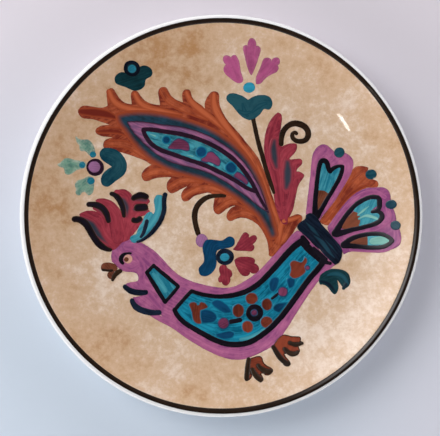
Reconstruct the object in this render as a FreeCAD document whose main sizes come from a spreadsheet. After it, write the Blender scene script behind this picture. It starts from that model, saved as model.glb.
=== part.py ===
import FreeCAD, Part
import math
import os

import Sketcher
from FreeCAD import Vector

# A hand painted coupe plate: one turned clay body on a foot ring, its fired coats (white glaze,
# tan ground and rim line), and every touch of coloured enamel as a thin inlaid coat of its own.
# Frame: +Z up, origin at the centre of the foot ring's resting plane, +X and +Y as the painted
# bird is seen upright. Millimetres.

DRIVING_SIZES = {
    "plate_radius": 100.0,      # over the glazed lip
    "well_radius": 45.0,        # flat floor of the well
    "floor_top": 6.1,           # top of the clay floor above the table
    "face_arc": 107.9,          # radius of the curved wall, clay face
    "wall_round": 1.7,          # half the clay wall, and the round of its lip
    "foot_inner": 54.5,
    "foot_outer": 60.0,
    "foot_bevel": 0.8,          # bare bevels beside the foot's contact ring
    "glaze_coat": 0.4,
    "ground_coat": 0.25,
    "paint_coat": 0.25,
    "line_coat": 0.3,
    "line_inner": 95.5,         # inner edge of the rim line
    "line_outer": 98.05,
    "line_shift_x": 0.42,       # the line is banded slightly off centre
    "line_shift_y": 0.15,
    "paint_reach": 93.0,        # no paint lies outside this radius
    "prism_height": 40.0,       # tall enough to pass through the whole wall
    "motif_scale": 0.994,       # millimetres of plate for one unit of the drawing
}

SLIVER_AREA = 0.6               # smaller scraps of a cut colour are left out

doc = FreeCAD.newDocument("painted_plate")
sheet = doc.addObject("Spreadsheet::Sheet", "Sizes")
for row, (alias, value) in enumerate(DRIVING_SIZES.items(), start=1):
    sheet.set("A%d" % row, alias)
    sheet.set("B%d" % row, str(value))
    sheet.setAlias("B%d" % row, alias)
doc.recompute()


def size(alias):
    return float(sheet.get(alias))


# ---------------------------------------------------------------- revolved bodies

ARC_CENTRE_X = "Sizes.well_radius"
ARC_CENTRE_Z = "Sizes.floor_top + Sizes.face_arc"
LIP_CENTRE_X = "Sizes.plate_radius - Sizes.glaze_coat - Sizes.wall_round"


class Wall:
    """The plate's section in numbers: parallel arcs about one centre, and a round lip."""

    def __init__(self):
        self.centre = (size("well_radius"), size("floor_top") + size("face_arc"))
        self.face = size("face_arc")
        self.back = size("face_arc") + 2 * size("wall_round")
        reach = size("plate_radius") - size("glaze_coat") - size("wall_round")
        middle = size("face_arc") + size("wall_round")
        self.lean = math.asin((reach - self.centre[0]) / middle)
        self.lip = (reach, self.centre[1] - middle * math.cos(self.lean))

    def height(self, radius, reach):
        """Height at this reach of the arc with this radius."""
        return self.centre[1] - math.sqrt(radius ** 2 - (reach - self.centre[0]) ** 2)

    def lip_end(self, radius, side):
        """Point where a lip round of this radius leaves the face (1) or the back (-1)."""
        angle = self.lean + side * math.pi / 2
        return (self.lip[0] + radius * math.cos(angle), self.lip[1] + radius * math.sin(angle))


wall = Wall()


class Section:
    """A closed half section in the plane of radius and height, revolved about Z."""

    def __init__(self, label):
        self.body = doc.addObject("PartDesign::Body", label)
        self.body.Label = label
        self.sketch = self.body.newObject("Sketcher::SketchObject", label + "_section")
        planes = [f for f in self.body.Origin.OriginFeatures if f.Role == "XZ_Plane"]
        self.sketch.AttachmentSupport = [(planes[0], "")]
        self.sketch.MapMode = "FlatFace"
        self.ends = []
        self.bound = 0

    def line(self, start, end):
        piece = Part.LineSegment(Vector(start[0], start[1], 0), Vector(end[0], end[1], 0))
        index = self.sketch.addGeometry(piece, False)
        self.ends.append((index, 1, 2))
        return index

    def arc(self, centre, start, end, turn):
        """Arc from start to end about the centre; turn is 1 anticlockwise, -1 clockwise."""
        radius = math.hypot(start[0] - centre[0], start[1] - centre[1])
        first, last = (start, end) if turn > 0 else (end, start)
        angles = [math.atan2(p[1] - centre[1], p[0] - centre[0]) for p in (first, last)]
        if angles[1] < angles[0]:
            angles[1] += 2 * math.pi
        circle = Part.Circle(Vector(centre[0], centre[1], 0), Vector(0, 0, 1), radius)
        index = self.sketch.addGeometry(Part.ArcOfCircle(circle, *angles), False)
        self.ends.append((index, 1, 2) if turn > 0 else (index, 2, 1))
        return index

    def join(self, tangent_after=()):
        """Closes the outline; the pieces listed meet their next piece smoothly."""
        for (here, _, tail), (after, head, _) in zip(self.ends, self.ends[1:] + self.ends[:1]):
            kind = "Tangent" if here in tangent_after else "Coincident"
            self.sketch.addConstraint(Sketcher.Constraint(kind, here, tail, after, head))

    def keep(self, kind, *where):
        self.sketch.addConstraint(Sketcher.Constraint(kind, *where))

    def bind(self, kind, where, value, expression):
        """A dimension that follows the sheet."""
        self.bound += 1
        name = "size_%d" % self.bound
        index = self.sketch.addConstraint(Sketcher.Constraint(kind, *where, value))
        self.sketch.renameConstraint(index, name)
        self.sketch.setExpression("Constraints." + name, expression)

    def bind_start_x(self, index, expression):
        self.bind_end("DistanceX", self.ends[index][1], index, expression)

    def bind_start_z(self, index, expression):
        self.bind_end("DistanceY", self.ends[index][1], index, expression)

    def bind_end(self, kind, end, index, expression):
        point = self.sketch.getPoint(index, end)
        value = point.x if kind == "DistanceX" else point.y
        self.bind(kind, (-1, 1, index, end), value, expression)

    def bind_arc(self, index, radius_expression=None):
        """Centres an arc on the wall's common centre; one that meets the lip needs no radius."""
        circle = self.sketch.Geometry[index]
        self.bind("DistanceX", (-1, 1, index, 3), circle.Center.x, ARC_CENTRE_X)
        self.bind("DistanceY", (-1, 1, index, 3), circle.Center.y, ARC_CENTRE_Z)
        if radius_expression:
            self.bind("Radius", (index,), circle.Radius, radius_expression)

    def bind_lip(self, index, radius_expression):
        circle = self.sketch.Geometry[index]
        self.bind("DistanceX", (-1, 1, index, 3), circle.Center.x, LIP_CENTRE_X)
        self.bind("Radius", (index,), circle.Radius, radius_expression)

    def revolve(self):
        spin = self.body.newObject("PartDesign::Revolution", self.body.Label + "_turned")
        spin.Profile = self.sketch
        spin.ReferenceAxis = (self.sketch, ["V_Axis"])
        spin.Angle = 360
        doc.recompute()
        return self.body

    def trim(self, name, radius_alias, keep_inside):
        """Trims the body with a circle that shares the rim line's centre."""
        cut = self.body.newObject("Sketcher::SketchObject", name)
        planes = [f for f in self.body.Origin.OriginFeatures if f.Role == "XY_Plane"]
        cut.AttachmentSupport = [(planes[0], "")]
        cut.MapMode = "FlatFace"
        centre = Vector(size("line_shift_x"), size("line_shift_y"), 0)
        radii = [(size(radius_alias), "Sizes." + radius_alias)]
        if keep_inside:
            radii.append((size("plate_radius") * 1.2, "Sizes.plate_radius * 1.2"))
        for number, (radius, expression) in enumerate(radii):
            ring = cut.addGeometry(Part.Circle(centre, Vector(0, 0, 1), radius), False)
            bindings = (("DistanceX", (-1, 1, ring, 3), centre.x, "Sizes.line_shift_x"),
                        ("DistanceY", (-1, 1, ring, 3), centre.y, "Sizes.line_shift_y"),
                        ("Radius", (ring,), radius, expression))
            for kind, where, value, text in bindings:
                label = "%s_%d" % (kind.lower(), number)
                index = cut.addConstraint(Sketcher.Constraint(kind, *where, value))
                cut.renameConstraint(index, label)
                cut.setExpression("Constraints." + label, text)
        pocket = self.body.newObject("PartDesign::Pocket", name + "_cut")
        pocket.Profile = cut
        pocket.Midplane = True
        pocket.Type = 0
        pocket.setExpression("Length", "Sizes.prism_height * 2")
        doc.recompute()


def clay_body():
    """Floor, curved wall with a round lip, and the turned foot ring."""
    top = size("floor_top")
    under = top - 2 * size("wall_round")
    well = size("well_radius")
    inner, outer, bevel = size("foot_inner"), size("foot_outer"), size("foot_bevel")
    face_tip = wall.lip_end(size("wall_round"), 1)
    back_tip = wall.lip_end(size("wall_round"), -1)
    outer_top = (outer, wall.height(wall.back, outer))
    inner_top = (inner, wall.height(wall.back, inner))
    clay = Section("clay_body")
    floor = clay.line((0, top), (well, top))
    face = clay.arc(wall.centre, (well, top), face_tip, 1)
    lip = clay.arc(wall.lip, face_tip, back_tip, -1)
    back = clay.arc(wall.centre, back_tip, outer_top, -1)
    foot_side = clay.line(outer_top, (outer, bevel))
    clay.line((outer, bevel), (outer - bevel, 0))
    contact = clay.line((outer - bevel, 0), (inner + bevel, 0))
    inner_bevel = clay.line((inner + bevel, 0), (inner, bevel))
    recess_side = clay.line((inner, bevel), inner_top)
    recess_arc = clay.arc(wall.centre, inner_top, (well, under), -1)
    recess = clay.line((well, under), (0, under))
    axis = clay.line((0, under), (0, top))
    clay.join(tangent_after=(face, lip))
    clay.keep("Horizontal", floor)
    clay.keep("Vertical", foot_side)
    clay.keep("Vertical", recess_side)
    clay.keep("Horizontal", recess)
    clay.keep("PointOnObject", contact, 1, -1)
    clay.keep("PointOnObject", contact, 2, -1)
    clay.keep("PointOnObject", axis, 1, -2)
    clay.keep("PointOnObject", axis, 2, -2)
    clay.bind_arc(face, "Sizes.face_arc")
    clay.bind_lip(lip, "Sizes.wall_round")
    clay.bind_arc(back)
    clay.bind_arc(recess_arc, "Sizes.face_arc + 2 * Sizes.wall_round")
    clay.bind_start_x(face, "Sizes.well_radius")
    clay.bind_start_x(foot_side, "Sizes.foot_outer")
    clay.bind_end("DistanceY", 2, foot_side, "Sizes.foot_bevel")
    clay.bind_start_x(contact, "Sizes.foot_outer - Sizes.foot_bevel")
    clay.bind_end("DistanceX", 2, contact, "Sizes.foot_inner + Sizes.foot_bevel")
    clay.bind_end("DistanceX", 2, inner_bevel, "Sizes.foot_inner")
    clay.bind_end("DistanceY", 2, inner_bevel, "Sizes.foot_bevel")
    clay.bind_start_x(recess, "Sizes.well_radius")
    return clay.revolve()


def white_glaze():
    """White glaze over the face, round the lip and down to the foot ring's outer bevel."""
    coat = size("glaze_coat")
    low, high = size("floor_top"), size("floor_top") + coat
    well, outer, bevel = size("well_radius"), size("foot_outer"), size("foot_bevel")
    clay_tips = [wall.lip_end(size("wall_round"), side) for side in (1, -1)]
    skin_tips = [wall.lip_end(size("wall_round") + coat, side) for side in (1, -1)]
    skin_foot = (outer + coat, wall.height(wall.back + coat, outer + coat))
    clay_foot = (outer, wall.height(wall.back, outer))
    glaze = Section("white_glaze")
    floor = glaze.line((0, high), (well, high))
    face = glaze.arc(wall.centre, (well, high), skin_tips[0], 1)
    lip = glaze.arc(wall.lip, skin_tips[0], skin_tips[1], -1)
    back = glaze.arc(wall.centre, skin_tips[1], skin_foot, -1)
    side = glaze.line(skin_foot, (outer + coat, bevel))
    hem = glaze.line((outer + coat, bevel), (outer, bevel))
    clay_side = glaze.line((outer, bevel), clay_foot)
    clay_back = glaze.arc(wall.centre, clay_foot, clay_tips[1], 1)
    clay_lip = glaze.arc(wall.lip, clay_tips[1], clay_tips[0], 1)
    clay_face = glaze.arc(wall.centre, clay_tips[0], (well, low), -1)
    clay_floor = glaze.line((well, low), (0, low))
    axis = glaze.line((0, low), (0, high))
    glaze.join(tangent_after=(face, lip, clay_back, clay_lip))
    for flat in (floor, hem, clay_floor):
        glaze.keep("Horizontal", flat)
    for upright in (side, clay_side):
        glaze.keep("Vertical", upright)
    glaze.keep("PointOnObject", axis, 1, -2)
    glaze.keep("PointOnObject", axis, 2, -2)
    glaze.bind_arc(face, "Sizes.face_arc - Sizes.glaze_coat")
    glaze.bind_arc(clay_face, "Sizes.face_arc")
    glaze.bind_arc(back)
    glaze.bind_arc(clay_back)
    glaze.bind_lip(lip, "Sizes.wall_round + Sizes.glaze_coat")
    glaze.bind_lip(clay_lip, "Sizes.wall_round")
    glaze.bind_start_x(face, "Sizes.well_radius")
    glaze.bind_start_x(clay_floor, "Sizes.well_radius")
    glaze.bind_start_x(side, "Sizes.foot_outer + Sizes.glaze_coat")
    glaze.bind_start_x(clay_side, "Sizes.foot_outer")
    glaze.bind_start_z(clay_side, "Sizes.foot_bevel")
    return glaze.revolve()


def recess_glaze():
    """White glaze on the underside within the foot ring."""
    coat = size("glaze_coat")
    high = size("floor_top") - 2 * size("wall_round")
    low = high - coat
    well, inner, bevel = size("well_radius"), size("foot_inner"), size("foot_bevel")
    clay_corner = (inner, wall.height(wall.back, inner))
    skin_corner = (inner - coat, wall.height(wall.back + coat, inner - coat))
    glaze = Section("recess_glaze")
    ceiling = glaze.line((0, high), (well, high))
    clay_arc = glaze.arc(wall.centre, (well, high), clay_corner, 1)
    clay_side = glaze.line(clay_corner, (inner, bevel))
    hem = glaze.line((inner, bevel), (inner - coat, bevel))
    side = glaze.line((inner - coat, bevel), skin_corner)
    arc = glaze.arc(wall.centre, skin_corner, (well, low), -1)
    flat = glaze.line((well, low), (0, low))
    axis = glaze.line((0, low), (0, high))
    glaze.join()
    for level in (ceiling, hem, flat):
        glaze.keep("Horizontal", level)
    for upright in (clay_side, side):
        glaze.keep("Vertical", upright)
    glaze.keep("PointOnObject", axis, 1, -2)
    glaze.keep("PointOnObject", axis, 2, -2)
    glaze.bind_arc(clay_arc, "Sizes.face_arc + 2 * Sizes.wall_round")
    glaze.bind_arc(arc, "Sizes.face_arc + 2 * Sizes.wall_round + Sizes.glaze_coat")
    glaze.bind_start_x(clay_arc, "Sizes.well_radius")
    glaze.bind_start_x(flat, "Sizes.well_radius")
    glaze.bind_start_x(clay_side, "Sizes.foot_inner")
    glaze.bind_start_x(side, "Sizes.foot_inner - Sizes.glaze_coat")
    glaze.bind_start_z(side, "Sizes.foot_bevel")
    return glaze.revolve()


def face_coat(label, below, coat, below_text, coat_text, reach, reach_text):
    """A coat on the face from the centre out to a reach, on top of the coats below it."""
    low = size("floor_top") + below
    well = size("well_radius")
    under, over = wall.face - below, wall.face - below - coat
    layer = Section(label)
    top = layer.line((0, low + coat), (well, low + coat))
    upper = layer.arc(wall.centre, (well, low + coat), (reach, wall.height(over, reach)), 1)
    edge = layer.line((reach, wall.height(over, reach)), (reach, wall.height(under, reach)))
    lower = layer.arc(wall.centre, (reach, wall.height(under, reach)), (well, low), -1)
    base = layer.line((well, low), (0, low))
    axis = layer.line((0, low), (0, low + coat))
    layer.join()
    layer.keep("Horizontal", top)
    layer.keep("Horizontal", base)
    layer.keep("Vertical", edge)
    layer.keep("PointOnObject", axis, 1, -2)
    layer.keep("PointOnObject", axis, 2, -2)
    layer.bind_arc(upper, "Sizes.face_arc - %s - %s" % (below_text, coat_text))
    layer.bind_arc(lower, "Sizes.face_arc - %s" % below_text)
    layer.bind_start_x(upper, "Sizes.well_radius")
    layer.bind_start_x(base, "Sizes.well_radius")
    layer.bind_start_x(edge, reach_text)
    layer.revolve()
    return layer


def rim_line():
    """Dark line banded by hand along the crest of the lip."""
    coat, skin = size("line_coat"), size("glaze_coat")
    start_reach, end_reach = size("line_inner") - 1.0, size("line_outer") + 0.8
    under, over = wall.face - skin, wall.face - skin - coat
    lip_under, lip_over = size("wall_round") + skin, size("wall_round") + skin + coat

    def on_lip(radius):
        return (end_reach, wall.lip[1] + math.sqrt(radius ** 2 - (end_reach - wall.lip[0]) ** 2))

    under_start = (start_reach, wall.height(under, start_reach))
    over_start = (start_reach, wall.height(over, start_reach))
    under_tip, over_tip = wall.lip_end(lip_under, 1), wall.lip_end(lip_over, 1)
    band = Section("rim_line")
    over_face = band.arc(wall.centre, over_start, over_tip, 1)
    over_lip = band.arc(wall.lip, over_tip, on_lip(lip_over), -1)
    outer_edge = band.line(on_lip(lip_over), on_lip(lip_under))
    under_lip = band.arc(wall.lip, on_lip(lip_under), under_tip, 1)
    under_face = band.arc(wall.centre, under_tip, under_start, -1)
    inner_edge = band.line(under_start, over_start)
    band.join(tangent_after=(over_face, under_lip))
    band.keep("Vertical", outer_edge)
    band.keep("Vertical", inner_edge)
    band.bind_arc(over_face, "Sizes.face_arc - Sizes.glaze_coat - Sizes.line_coat")
    band.bind_arc(under_face, "Sizes.face_arc - Sizes.glaze_coat")
    band.bind_lip(over_lip, "Sizes.wall_round + Sizes.glaze_coat + Sizes.line_coat")
    band.bind_lip(under_lip, "Sizes.wall_round + Sizes.glaze_coat")
    band.bind_start_x(outer_edge, "Sizes.line_outer + 0.8")
    band.bind_start_x(inner_edge, "Sizes.line_inner - 1")
    band.revolve()
    band.trim("line_outside", "line_outer", keep_inside=True)
    band.trim("line_inside", "line_inner", keep_inside=False)
    return band.body


def tan_ground():
    """Tan sponged ground inside the rim line."""
    layer = face_coat("tan_ground", size("glaze_coat"), size("ground_coat"),
                      "Sizes.glaze_coat", "Sizes.ground_coat",
                      size("line_inner") + 0.9, "Sizes.line_inner + 0.9")
    layer.trim("ground_outside", "line_inner", keep_inside=True)
    return layer.body


def paint_layer():
    """The space that all the painted colours share; each colour is cut from it."""
    below = size("glaze_coat") + size("ground_coat")
    layer = face_coat("paint_layer", below, size("paint_coat"),
                      "Sizes.glaze_coat - Sizes.ground_coat", "Sizes.paint_coat",
                      size("paint_reach"), "Sizes.paint_reach")
    return layer.body


# ---------------------------------------------------------------- drawn outlines
# Points of the drawing are in drawing units, upright as the bird is seen; motif_scale turns
# them into millimetres. They lie on a flat sheet that is later projected onto the face.


def on_sheet(point):
    scale = size("motif_scale")
    return Vector(point[0] * scale, point[1] * scale, 0)


def smooth(points):
    curve = Part.BSplineCurve()
    curve.interpolate([on_sheet(p) for p in points])
    return curve


def face_of(edges):
    wire = Part.Wire(Part.__sortEdges__(edges))
    face = Part.Face(wire)
    face.validate()
    return face


def patch(*runs):
    """A filled shape: each run of points is a smooth side, and the runs meet in corners."""
    if len(runs) == 1:
        curve = Part.BSplineCurve()
        curve.interpolate(Points=[on_sheet(p) for p in runs[0]], PeriodicFlag=True)
        return face_of([curve.toShape()])
    sides = [Part.makeLine(on_sheet(r[0]), on_sheet(r[1])) if len(r) == 2
             else smooth(r).toShape() for r in runs]
    return face_of(sides)


def dot(x, y, radius, radius_y=None):
    """A round or oval touch of the brush."""
    scale = size("motif_scale")
    wide, high = radius * scale, (radius_y or radius) * scale
    if abs(wide - high) < 0.01:
        return face_of([Part.Circle(on_sheet((x, y)), Vector(0, 0, 1), wide).toShape()])
    long_way = Vector(1, 0, 0) if wide > high else Vector(0, 1, 0)
    ellipse = Part.Ellipse(on_sheet((x, y)) + long_way * max(wide, high),
                           on_sheet((x, y)) + Vector(-long_way.y, long_way.x, 0) * min(wide, high),
                           on_sheet((x, y)))
    return face_of([ellipse.toShape()])


def stroke(points, widths, steps=3):
    """A brush stroke along a curve, as wide as the widths say, with round ends."""
    spine = smooth(points)
    count = (len(points) - 1) * steps
    if not isinstance(widths, (list, tuple)):
        widths = [widths, widths]
    left, right = [], []
    for number in range(count + 1):
        way = number / count
        along = spine.FirstParameter + way * (spine.LastParameter - spine.FirstParameter)
        place, heading = spine.value(along), spine.tangent(along)[0]
        slot = way * (len(widths) - 1)
        base = min(int(slot), len(widths) - 2)
        width = widths[base] + (widths[base + 1] - widths[base]) * (slot - base)
        aside = Vector(-heading.y, heading.x, 0) * (width * size("motif_scale") / 2)
        left.append(place + aside)
        right.append(place - aside)
        if number == 0:
            tail = place - heading * aside.Length
        if number == count:
            tip = place + heading * aside.Length
    sides = []
    for row in (left, right):
        curve = Part.BSplineCurve()
        curve.interpolate(row)
        sides.append(curve.toShape())
    caps = [Part.Arc(left[0], tail, right[0]).toShape(), Part.Arc(left[-1], tip, right[-1]).toShape()]
    return face_of([sides[0], caps[1], sides[1], caps[0]])


class Painting:
    """Colours in the order they are laid on. Where two overlap, the later one shows."""

    def __init__(self):
        self.colours = []

    def lay(self, label, *shapes):
        flat = shapes[0]
        for shape in shapes[1:]:
            flat = flat.fuse(shape)
        if len(shapes) > 1:
            flat = flat.removeSplitter()
        self.colours.append((label, flat))

    def inlaid(self):
        """Each colour's visible footprint, with every later colour cut out of it."""
        for number, (label, flat) in enumerate(self.colours):
            for _, later in self.colours[number + 1:]:
                if flat.BoundBox.intersect(later.BoundBox):
                    flat = flat.cut(later)
            yield label, [face for face in flat.Faces if face.Area > SLIVER_AREA]


# ---------------------------------------------------------------- the bird

def bird(painting):
    painting.lay("bird_body", patch(
        [(-55.3, -23.3), (-55.7, -20), (-55, -17), (-52, -14), (-47.5, -11.7), (-43, -12.7),
         (-38, -15.1), (-33, -18.7), (-28, -24), (-22, -29.8), (-15, -33.3), (-7, -35.5),
         (0, -36.6), (6, -36.2), (12, -33.3), (18, -29.2), (24, -23.2), (30, -16),
         (35, -10.6), (39, -7.4)],
        [(39, -7.4), (42, -9), (46, -13), (52, -19.2), (58.3, -24.6)],
        [(58.3, -24.6), (55, -27), (50.5, -31.8), (46, -37.7), (41, -45), (36, -53),
         (31, -60.5), (26, -65.8), (19, -69.6), (11, -72.5), (4, -72.3), (-4, -69.6),
         (-12, -65.4), (-20, -60), (-26, -55), (-30.5, -50.2)],
        [(-30.5, -50.2), (-36, -49.5), (-41, -47.6), (-45.4, -43.6), (-44.5, -41.3)],
        [(-44.5, -41.3), (-41, -40.8), (-38.5, -40)],
        [(-38.5, -40), (-43, -39.5), (-47, -37.8), (-49.5, -36), (-48, -34.4), (-45, -33.7),
         (-42.4, -33.2)],
        [(-42.4, -33.2), (-42, -31.5), (-42.8, -29.4), (-44.8, -28.5), (-48.5, -28.3),
         (-51.3, -27), (-53.5, -24.8), (-55.3, -23.3)]))
    painting.lay("neck_panel", patch(
        [(-34.2, -25.3), (-28, -30.7), (-21.7, -35.9)],
        [(-21.7, -35.9), (-25, -39.9), (-28.5, -43.8)],
        [(-28.5, -43.8), (-33.1, -36.3), (-37.7, -28.9)],
        [(-37.7, -28.9), (-34.2, -25.3)]))
    painting.lay("neck_outline",
                 stroke([(-37.7, -28.9), (-33.1, -36.3), (-28.5, -43.8)], [2, 2.4, 2]),
                 stroke([(-34.4, -25.2), (-28, -30.6), (-21.9, -35.7)], [1.9, 2.2, 1.9]),
                 stroke([(-21.7, -35.9), (-25, -39.9), (-28.4, -43.7)], [1.8, 1.9, 1.9]),
                 stroke([(-37.8, -28.8), (-36, -27), (-34.3, -25.2)], 1.9))
    painting.lay("wattle_strokes",
                 stroke([(-48.8, -36), (-46, -38), (-42, -39), (-38.3, -38.8)], [2.4, 3, 3, 2.6]),
                 stroke([(-45.2, -43), (-43, -46.3), (-39, -48.3), (-35, -49.1), (-31.5, -49.1)],
                        [2.4, 3.2, 3.2, 3, 2.6]))
    painting.lay("beak",
                 patch([(-60.9, -26), (-60.2, -24.4), (-58.5, -23.8), (-55.5, -24),
                        (-53.4, -24.9), (-52.8, -27), (-54.5, -28.3), (-58, -28.3),
                        (-60.3, -27.6)]),
                 patch([(-55.6, -28.2), (-57.4, -28.9), (-57.6, -30.6), (-56, -31.9),
                        (-54.5, -31), (-53.6, -29)]))
    painting.lay("beak_strokes",
                 stroke([(-60, -27.3), (-57.5, -27.7), (-55.4, -27.7)], 1.2),
                 stroke([(-51.3, -28), (-52.8, -28.9), (-54.2, -30.6), (-55, -32.4)],
                        [2.2, 2.6, 2.2, 1.6]))
    painting.lay("eye_white", dot(-47.3, -21.9, 2.1))
    painting.lay("eye_line",
                 stroke([(-45.8, -19), (-48.3, -19.1), (-50.3, -20.3), (-50.9, -22.2), (-50, -24)],
                        [0.8, 1.2, 2, 2.4, 1.6]),
                 dot(-48.2, -22.1, 1.2))


def belly(painting):
    top_edge = [(41, -12.9), (35, -17.7), (30, -23.3), (25, -28.8), (20, -33.8), (15, -37.3),
                (10, -39.4), (5, -40.5), (0, -41), (-5, -40.7), (-10, -39.8), (-15, -38.2)]
    front_edge = [(-15, -38.2), (-19.2, -42.7), (-23.6, -47.8)]
    lower_edge = [(-23.6, -47.8), (-20, -53), (-13.5, -57.4), (-7, -61), (-1, -63.8),
                  (5, -65.2), (10, -65.1), (15, -63.8), (20, -60.9), (25, -57), (29, -53),
                  (33, -48.3), (37, -42.8), (41, -37.3), (45, -31.8), (48.5, -27.8),
                  (51.8, -23.6)]
    rump_edge = [(51.8, -23.6), (48, -19.8), (44.3, -16.3), (41, -12.9)]
    painting.lay("belly_panel", patch(top_edge, front_edge, lower_edge, rump_edge))
    painting.lay("belly_leaves",
                 patch([(-10.3, -47.8), (-6.5, -47.4), (-3.2, -49), (-1.8, -51.3), (-3.3, -54),
                        (-7, -54.8), (-10.4, -54.6)]),
                 patch([(-4.6, -43.3), (-1, -42.6), (2, -44), (4.3, -46.3), (5.6, -49),
                        (3.5, -49.8), (0.5, -49.2), (-2.3, -47.3)]),
                 patch([(-2.4, -59.3), (1.5, -58.6), (5.5, -58.3), (7.1, -59.5), (5.8, -62),
                        (2, -63), (-2, -62.4)]),
                 patch([(26.2, -46.5), (28, -44.5), (31, -43.8), (35, -44.2), (34.6, -47),
                        (32, -49.3), (28.5, -49.2)]),
                 patch([(24.2, -35), (25, -32.2), (27.2, -30.8), (29.7, -31.8), (29.5, -34.5),
                        (28.3, -37.5), (26.5, -39), (24.8, -37.8)]),
                 patch([(34.6, -31.3), (37.8, -31.6), (38, -33.8), (36.5, -36.6), (34.6, -37),
                        (33.6, -34.5)]))
    painting.lay("belly_blossoms",
                 patch([(-16.4, -45.3), (-14.8, -43.9), (-12.8, -44.2), (-11.5, -45.4)],
                       [(-11.5, -45.4), (-10.2, -43.9), (-8.3, -44.4), (-6.7, -46.5)],
                       [(-6.7, -46.5), (-8.5, -47.3), (-10.4, -47.9)],
                       [(-10.4, -47.9), (-10.7, -51), (-9.8, -54.5)],
                       [(-9.8, -54.5), (-12.6, -54.4), (-14.3, -52), (-15, -48.4),
                        (-16.4, -45.3)]),
                 patch([(35.2, -24.6), (37.8, -22.8), (39.6, -23.4), (42.6, -20.8)],
                       [(42.6, -20.8), (43.5, -23.5), (42.6, -25.5), (43.6, -27.2)],
                       [(43.6, -27.2), (41, -30.3), (37, -31.6), (35, -30)],
                       [(35, -30), (35.6, -27.5), (35.2, -24.6)]),
                 dot(15.6, -42, 3, 2.9), dot(8.8, -48.2, 2.8, 3.4), dot(13.5, -56.3, 2.7, 2.9),
                 dot(23.2, -54, 3, 2.9), dot(23.4, -45, 2.6, 3))
    painting.lay("belly_outline",
                 stroke(top_edge, [3.6, 3.4, 3.2, 3, 2.8, 2.4, 2.2]),
                 stroke(front_edge, 2.2),
                 stroke(lower_edge, [2.6, 3, 3, 3.2, 3.2]),
                 stroke(rump_edge, [3, 3.8, 4.2, 3.4]))
    painting.lay("belly_centres",
                 dot(17.1, -49.3, 4.4),
                 stroke([(5, -53.8), (7.3, -53.4), (9.6, -52.9)], 2.4),
                 stroke([(26, -41.9), (27.5, -40.8), (29, -39.6)], 1.4))
    painting.lay("belly_dots", dot(1.3, -54.6, 2.9), dot(31.5, -38.6, 2.5),
                 dot(44, -26.4, 1.3), dot(16.9, -49.2, 1.8))


def crest(painting):
    painting.lay("crest", patch(
        [(-54.8, -17.2), (-52, -15.3), (-50, -13.3), (-47.3, -12.3), (-45.3, -10),
         (-42.8, -6.8), (-40.3, -3.8)],
        [(-40.3, -3.8), (-40.8, -0.4), (-38, 0.9), (-36.2, 2.3), (-38.2, 4.2), (-38.4, 5.6),
         (-36.3, 7.3), (-37.5, 8.9), (-41, 9.5), (-45, 9.9)],
        [(-45, 9.9), (-47.3, 12.6), (-50, 13.7), (-52.8, 12.9), (-55, 12.2)],
        [(-55, 12.2), (-52.2, 9), (-50.8, 5), (-50.2, 0.3)],
        [(-50.2, 0.3), (-51.8, 3.6), (-54.4, 6.6), (-57.5, 8.4), (-60.6, 8.9), (-63.8, 8)],
        [(-63.8, 8), (-61.6, 4.6), (-60.3, 0.6)],
        [(-60.3, 0.6), (-63, 2), (-66.3, 2.7), (-69.5, 2.1), (-71.8, 0.9)],
        [(-71.8, 0.9), (-70, -2), (-67.5, -5), (-64.5, -10), (-61, -14.8), (-57.5, -17.5),
         (-54.8, -17.2)]))
    painting.lay("crest_strokes",
                 stroke([(-74, -1.6), (-71.5, -1.9), (-68.6, -4), (-66, -8.3), (-63.3, -12.6),
                         (-60, -15.8), (-56.3, -17.2)], [2.8, 3.2, 3.3, 3, 3.2, 3, 1.6]),
                 stroke([(-67, 5.9), (-63.8, 5.7), (-60.5, 4.3), (-58.3, 1.2), (-57.2, -2.4)],
                        [2.4, 3, 3, 3, 2.2]),
                 stroke([(-55.6, 11.3), (-53.2, 10), (-51, 6.8), (-49.8, 3), (-49.4, 0)],
                        [2, 2.8, 2.8, 2.4, 1.6]),
                 stroke([(-44.4, 9.2), (-41.5, 10.5), (-38.2, 9.9)], [2.6, 3.3, 2.8]),
                 stroke([(-42.4, 4.2), (-40.6, 4.4), (-39, 4.5)], 3.6),
                 stroke([(-44.4, -2.1), (-42.8, -2.2), (-41.4, -1.4)], 2.6))
    painting.lay("crest_feather", patch(
        [(-32.6, 10.3), (-30, 10), (-29.7, 5), (-30.5, 0), (-32.5, -4.5), (-35.8, -8.5),
         (-39.5, -11.5), (-43, -13)],
        [(-43, -13), (-45.6, -12.6), (-46, -11), (-43.5, -9.6), (-42, -7), (-40.2, -3.6)],
        [(-40.2, -3.6), (-38.8, -0.5), (-36.8, 1.8), (-34.5, 0.4)],
        [(-34.5, 0.4), (-33.3, 3.5), (-33.8, 7), (-32.6, 10.3)]))
    painting.lay("crest_feather_strokes",
                 stroke([(-28.5, 10.9), (-29, 8), (-29, 3.5), (-30.2, -1), (-33, -5.7),
                         (-36.7, -9.8), (-40.3, -12.3), (-42.6, -13.1)],
                        [2.4, 2.4, 2.4, 2.5, 2.3, 1.8, 1.2]),
                 stroke([(-37.8, -2.6), (-38.2, -4.5), (-39, -7.5), (-40.8, -10.5)],
                        [2, 2.2, 2, 1.6]))


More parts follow.
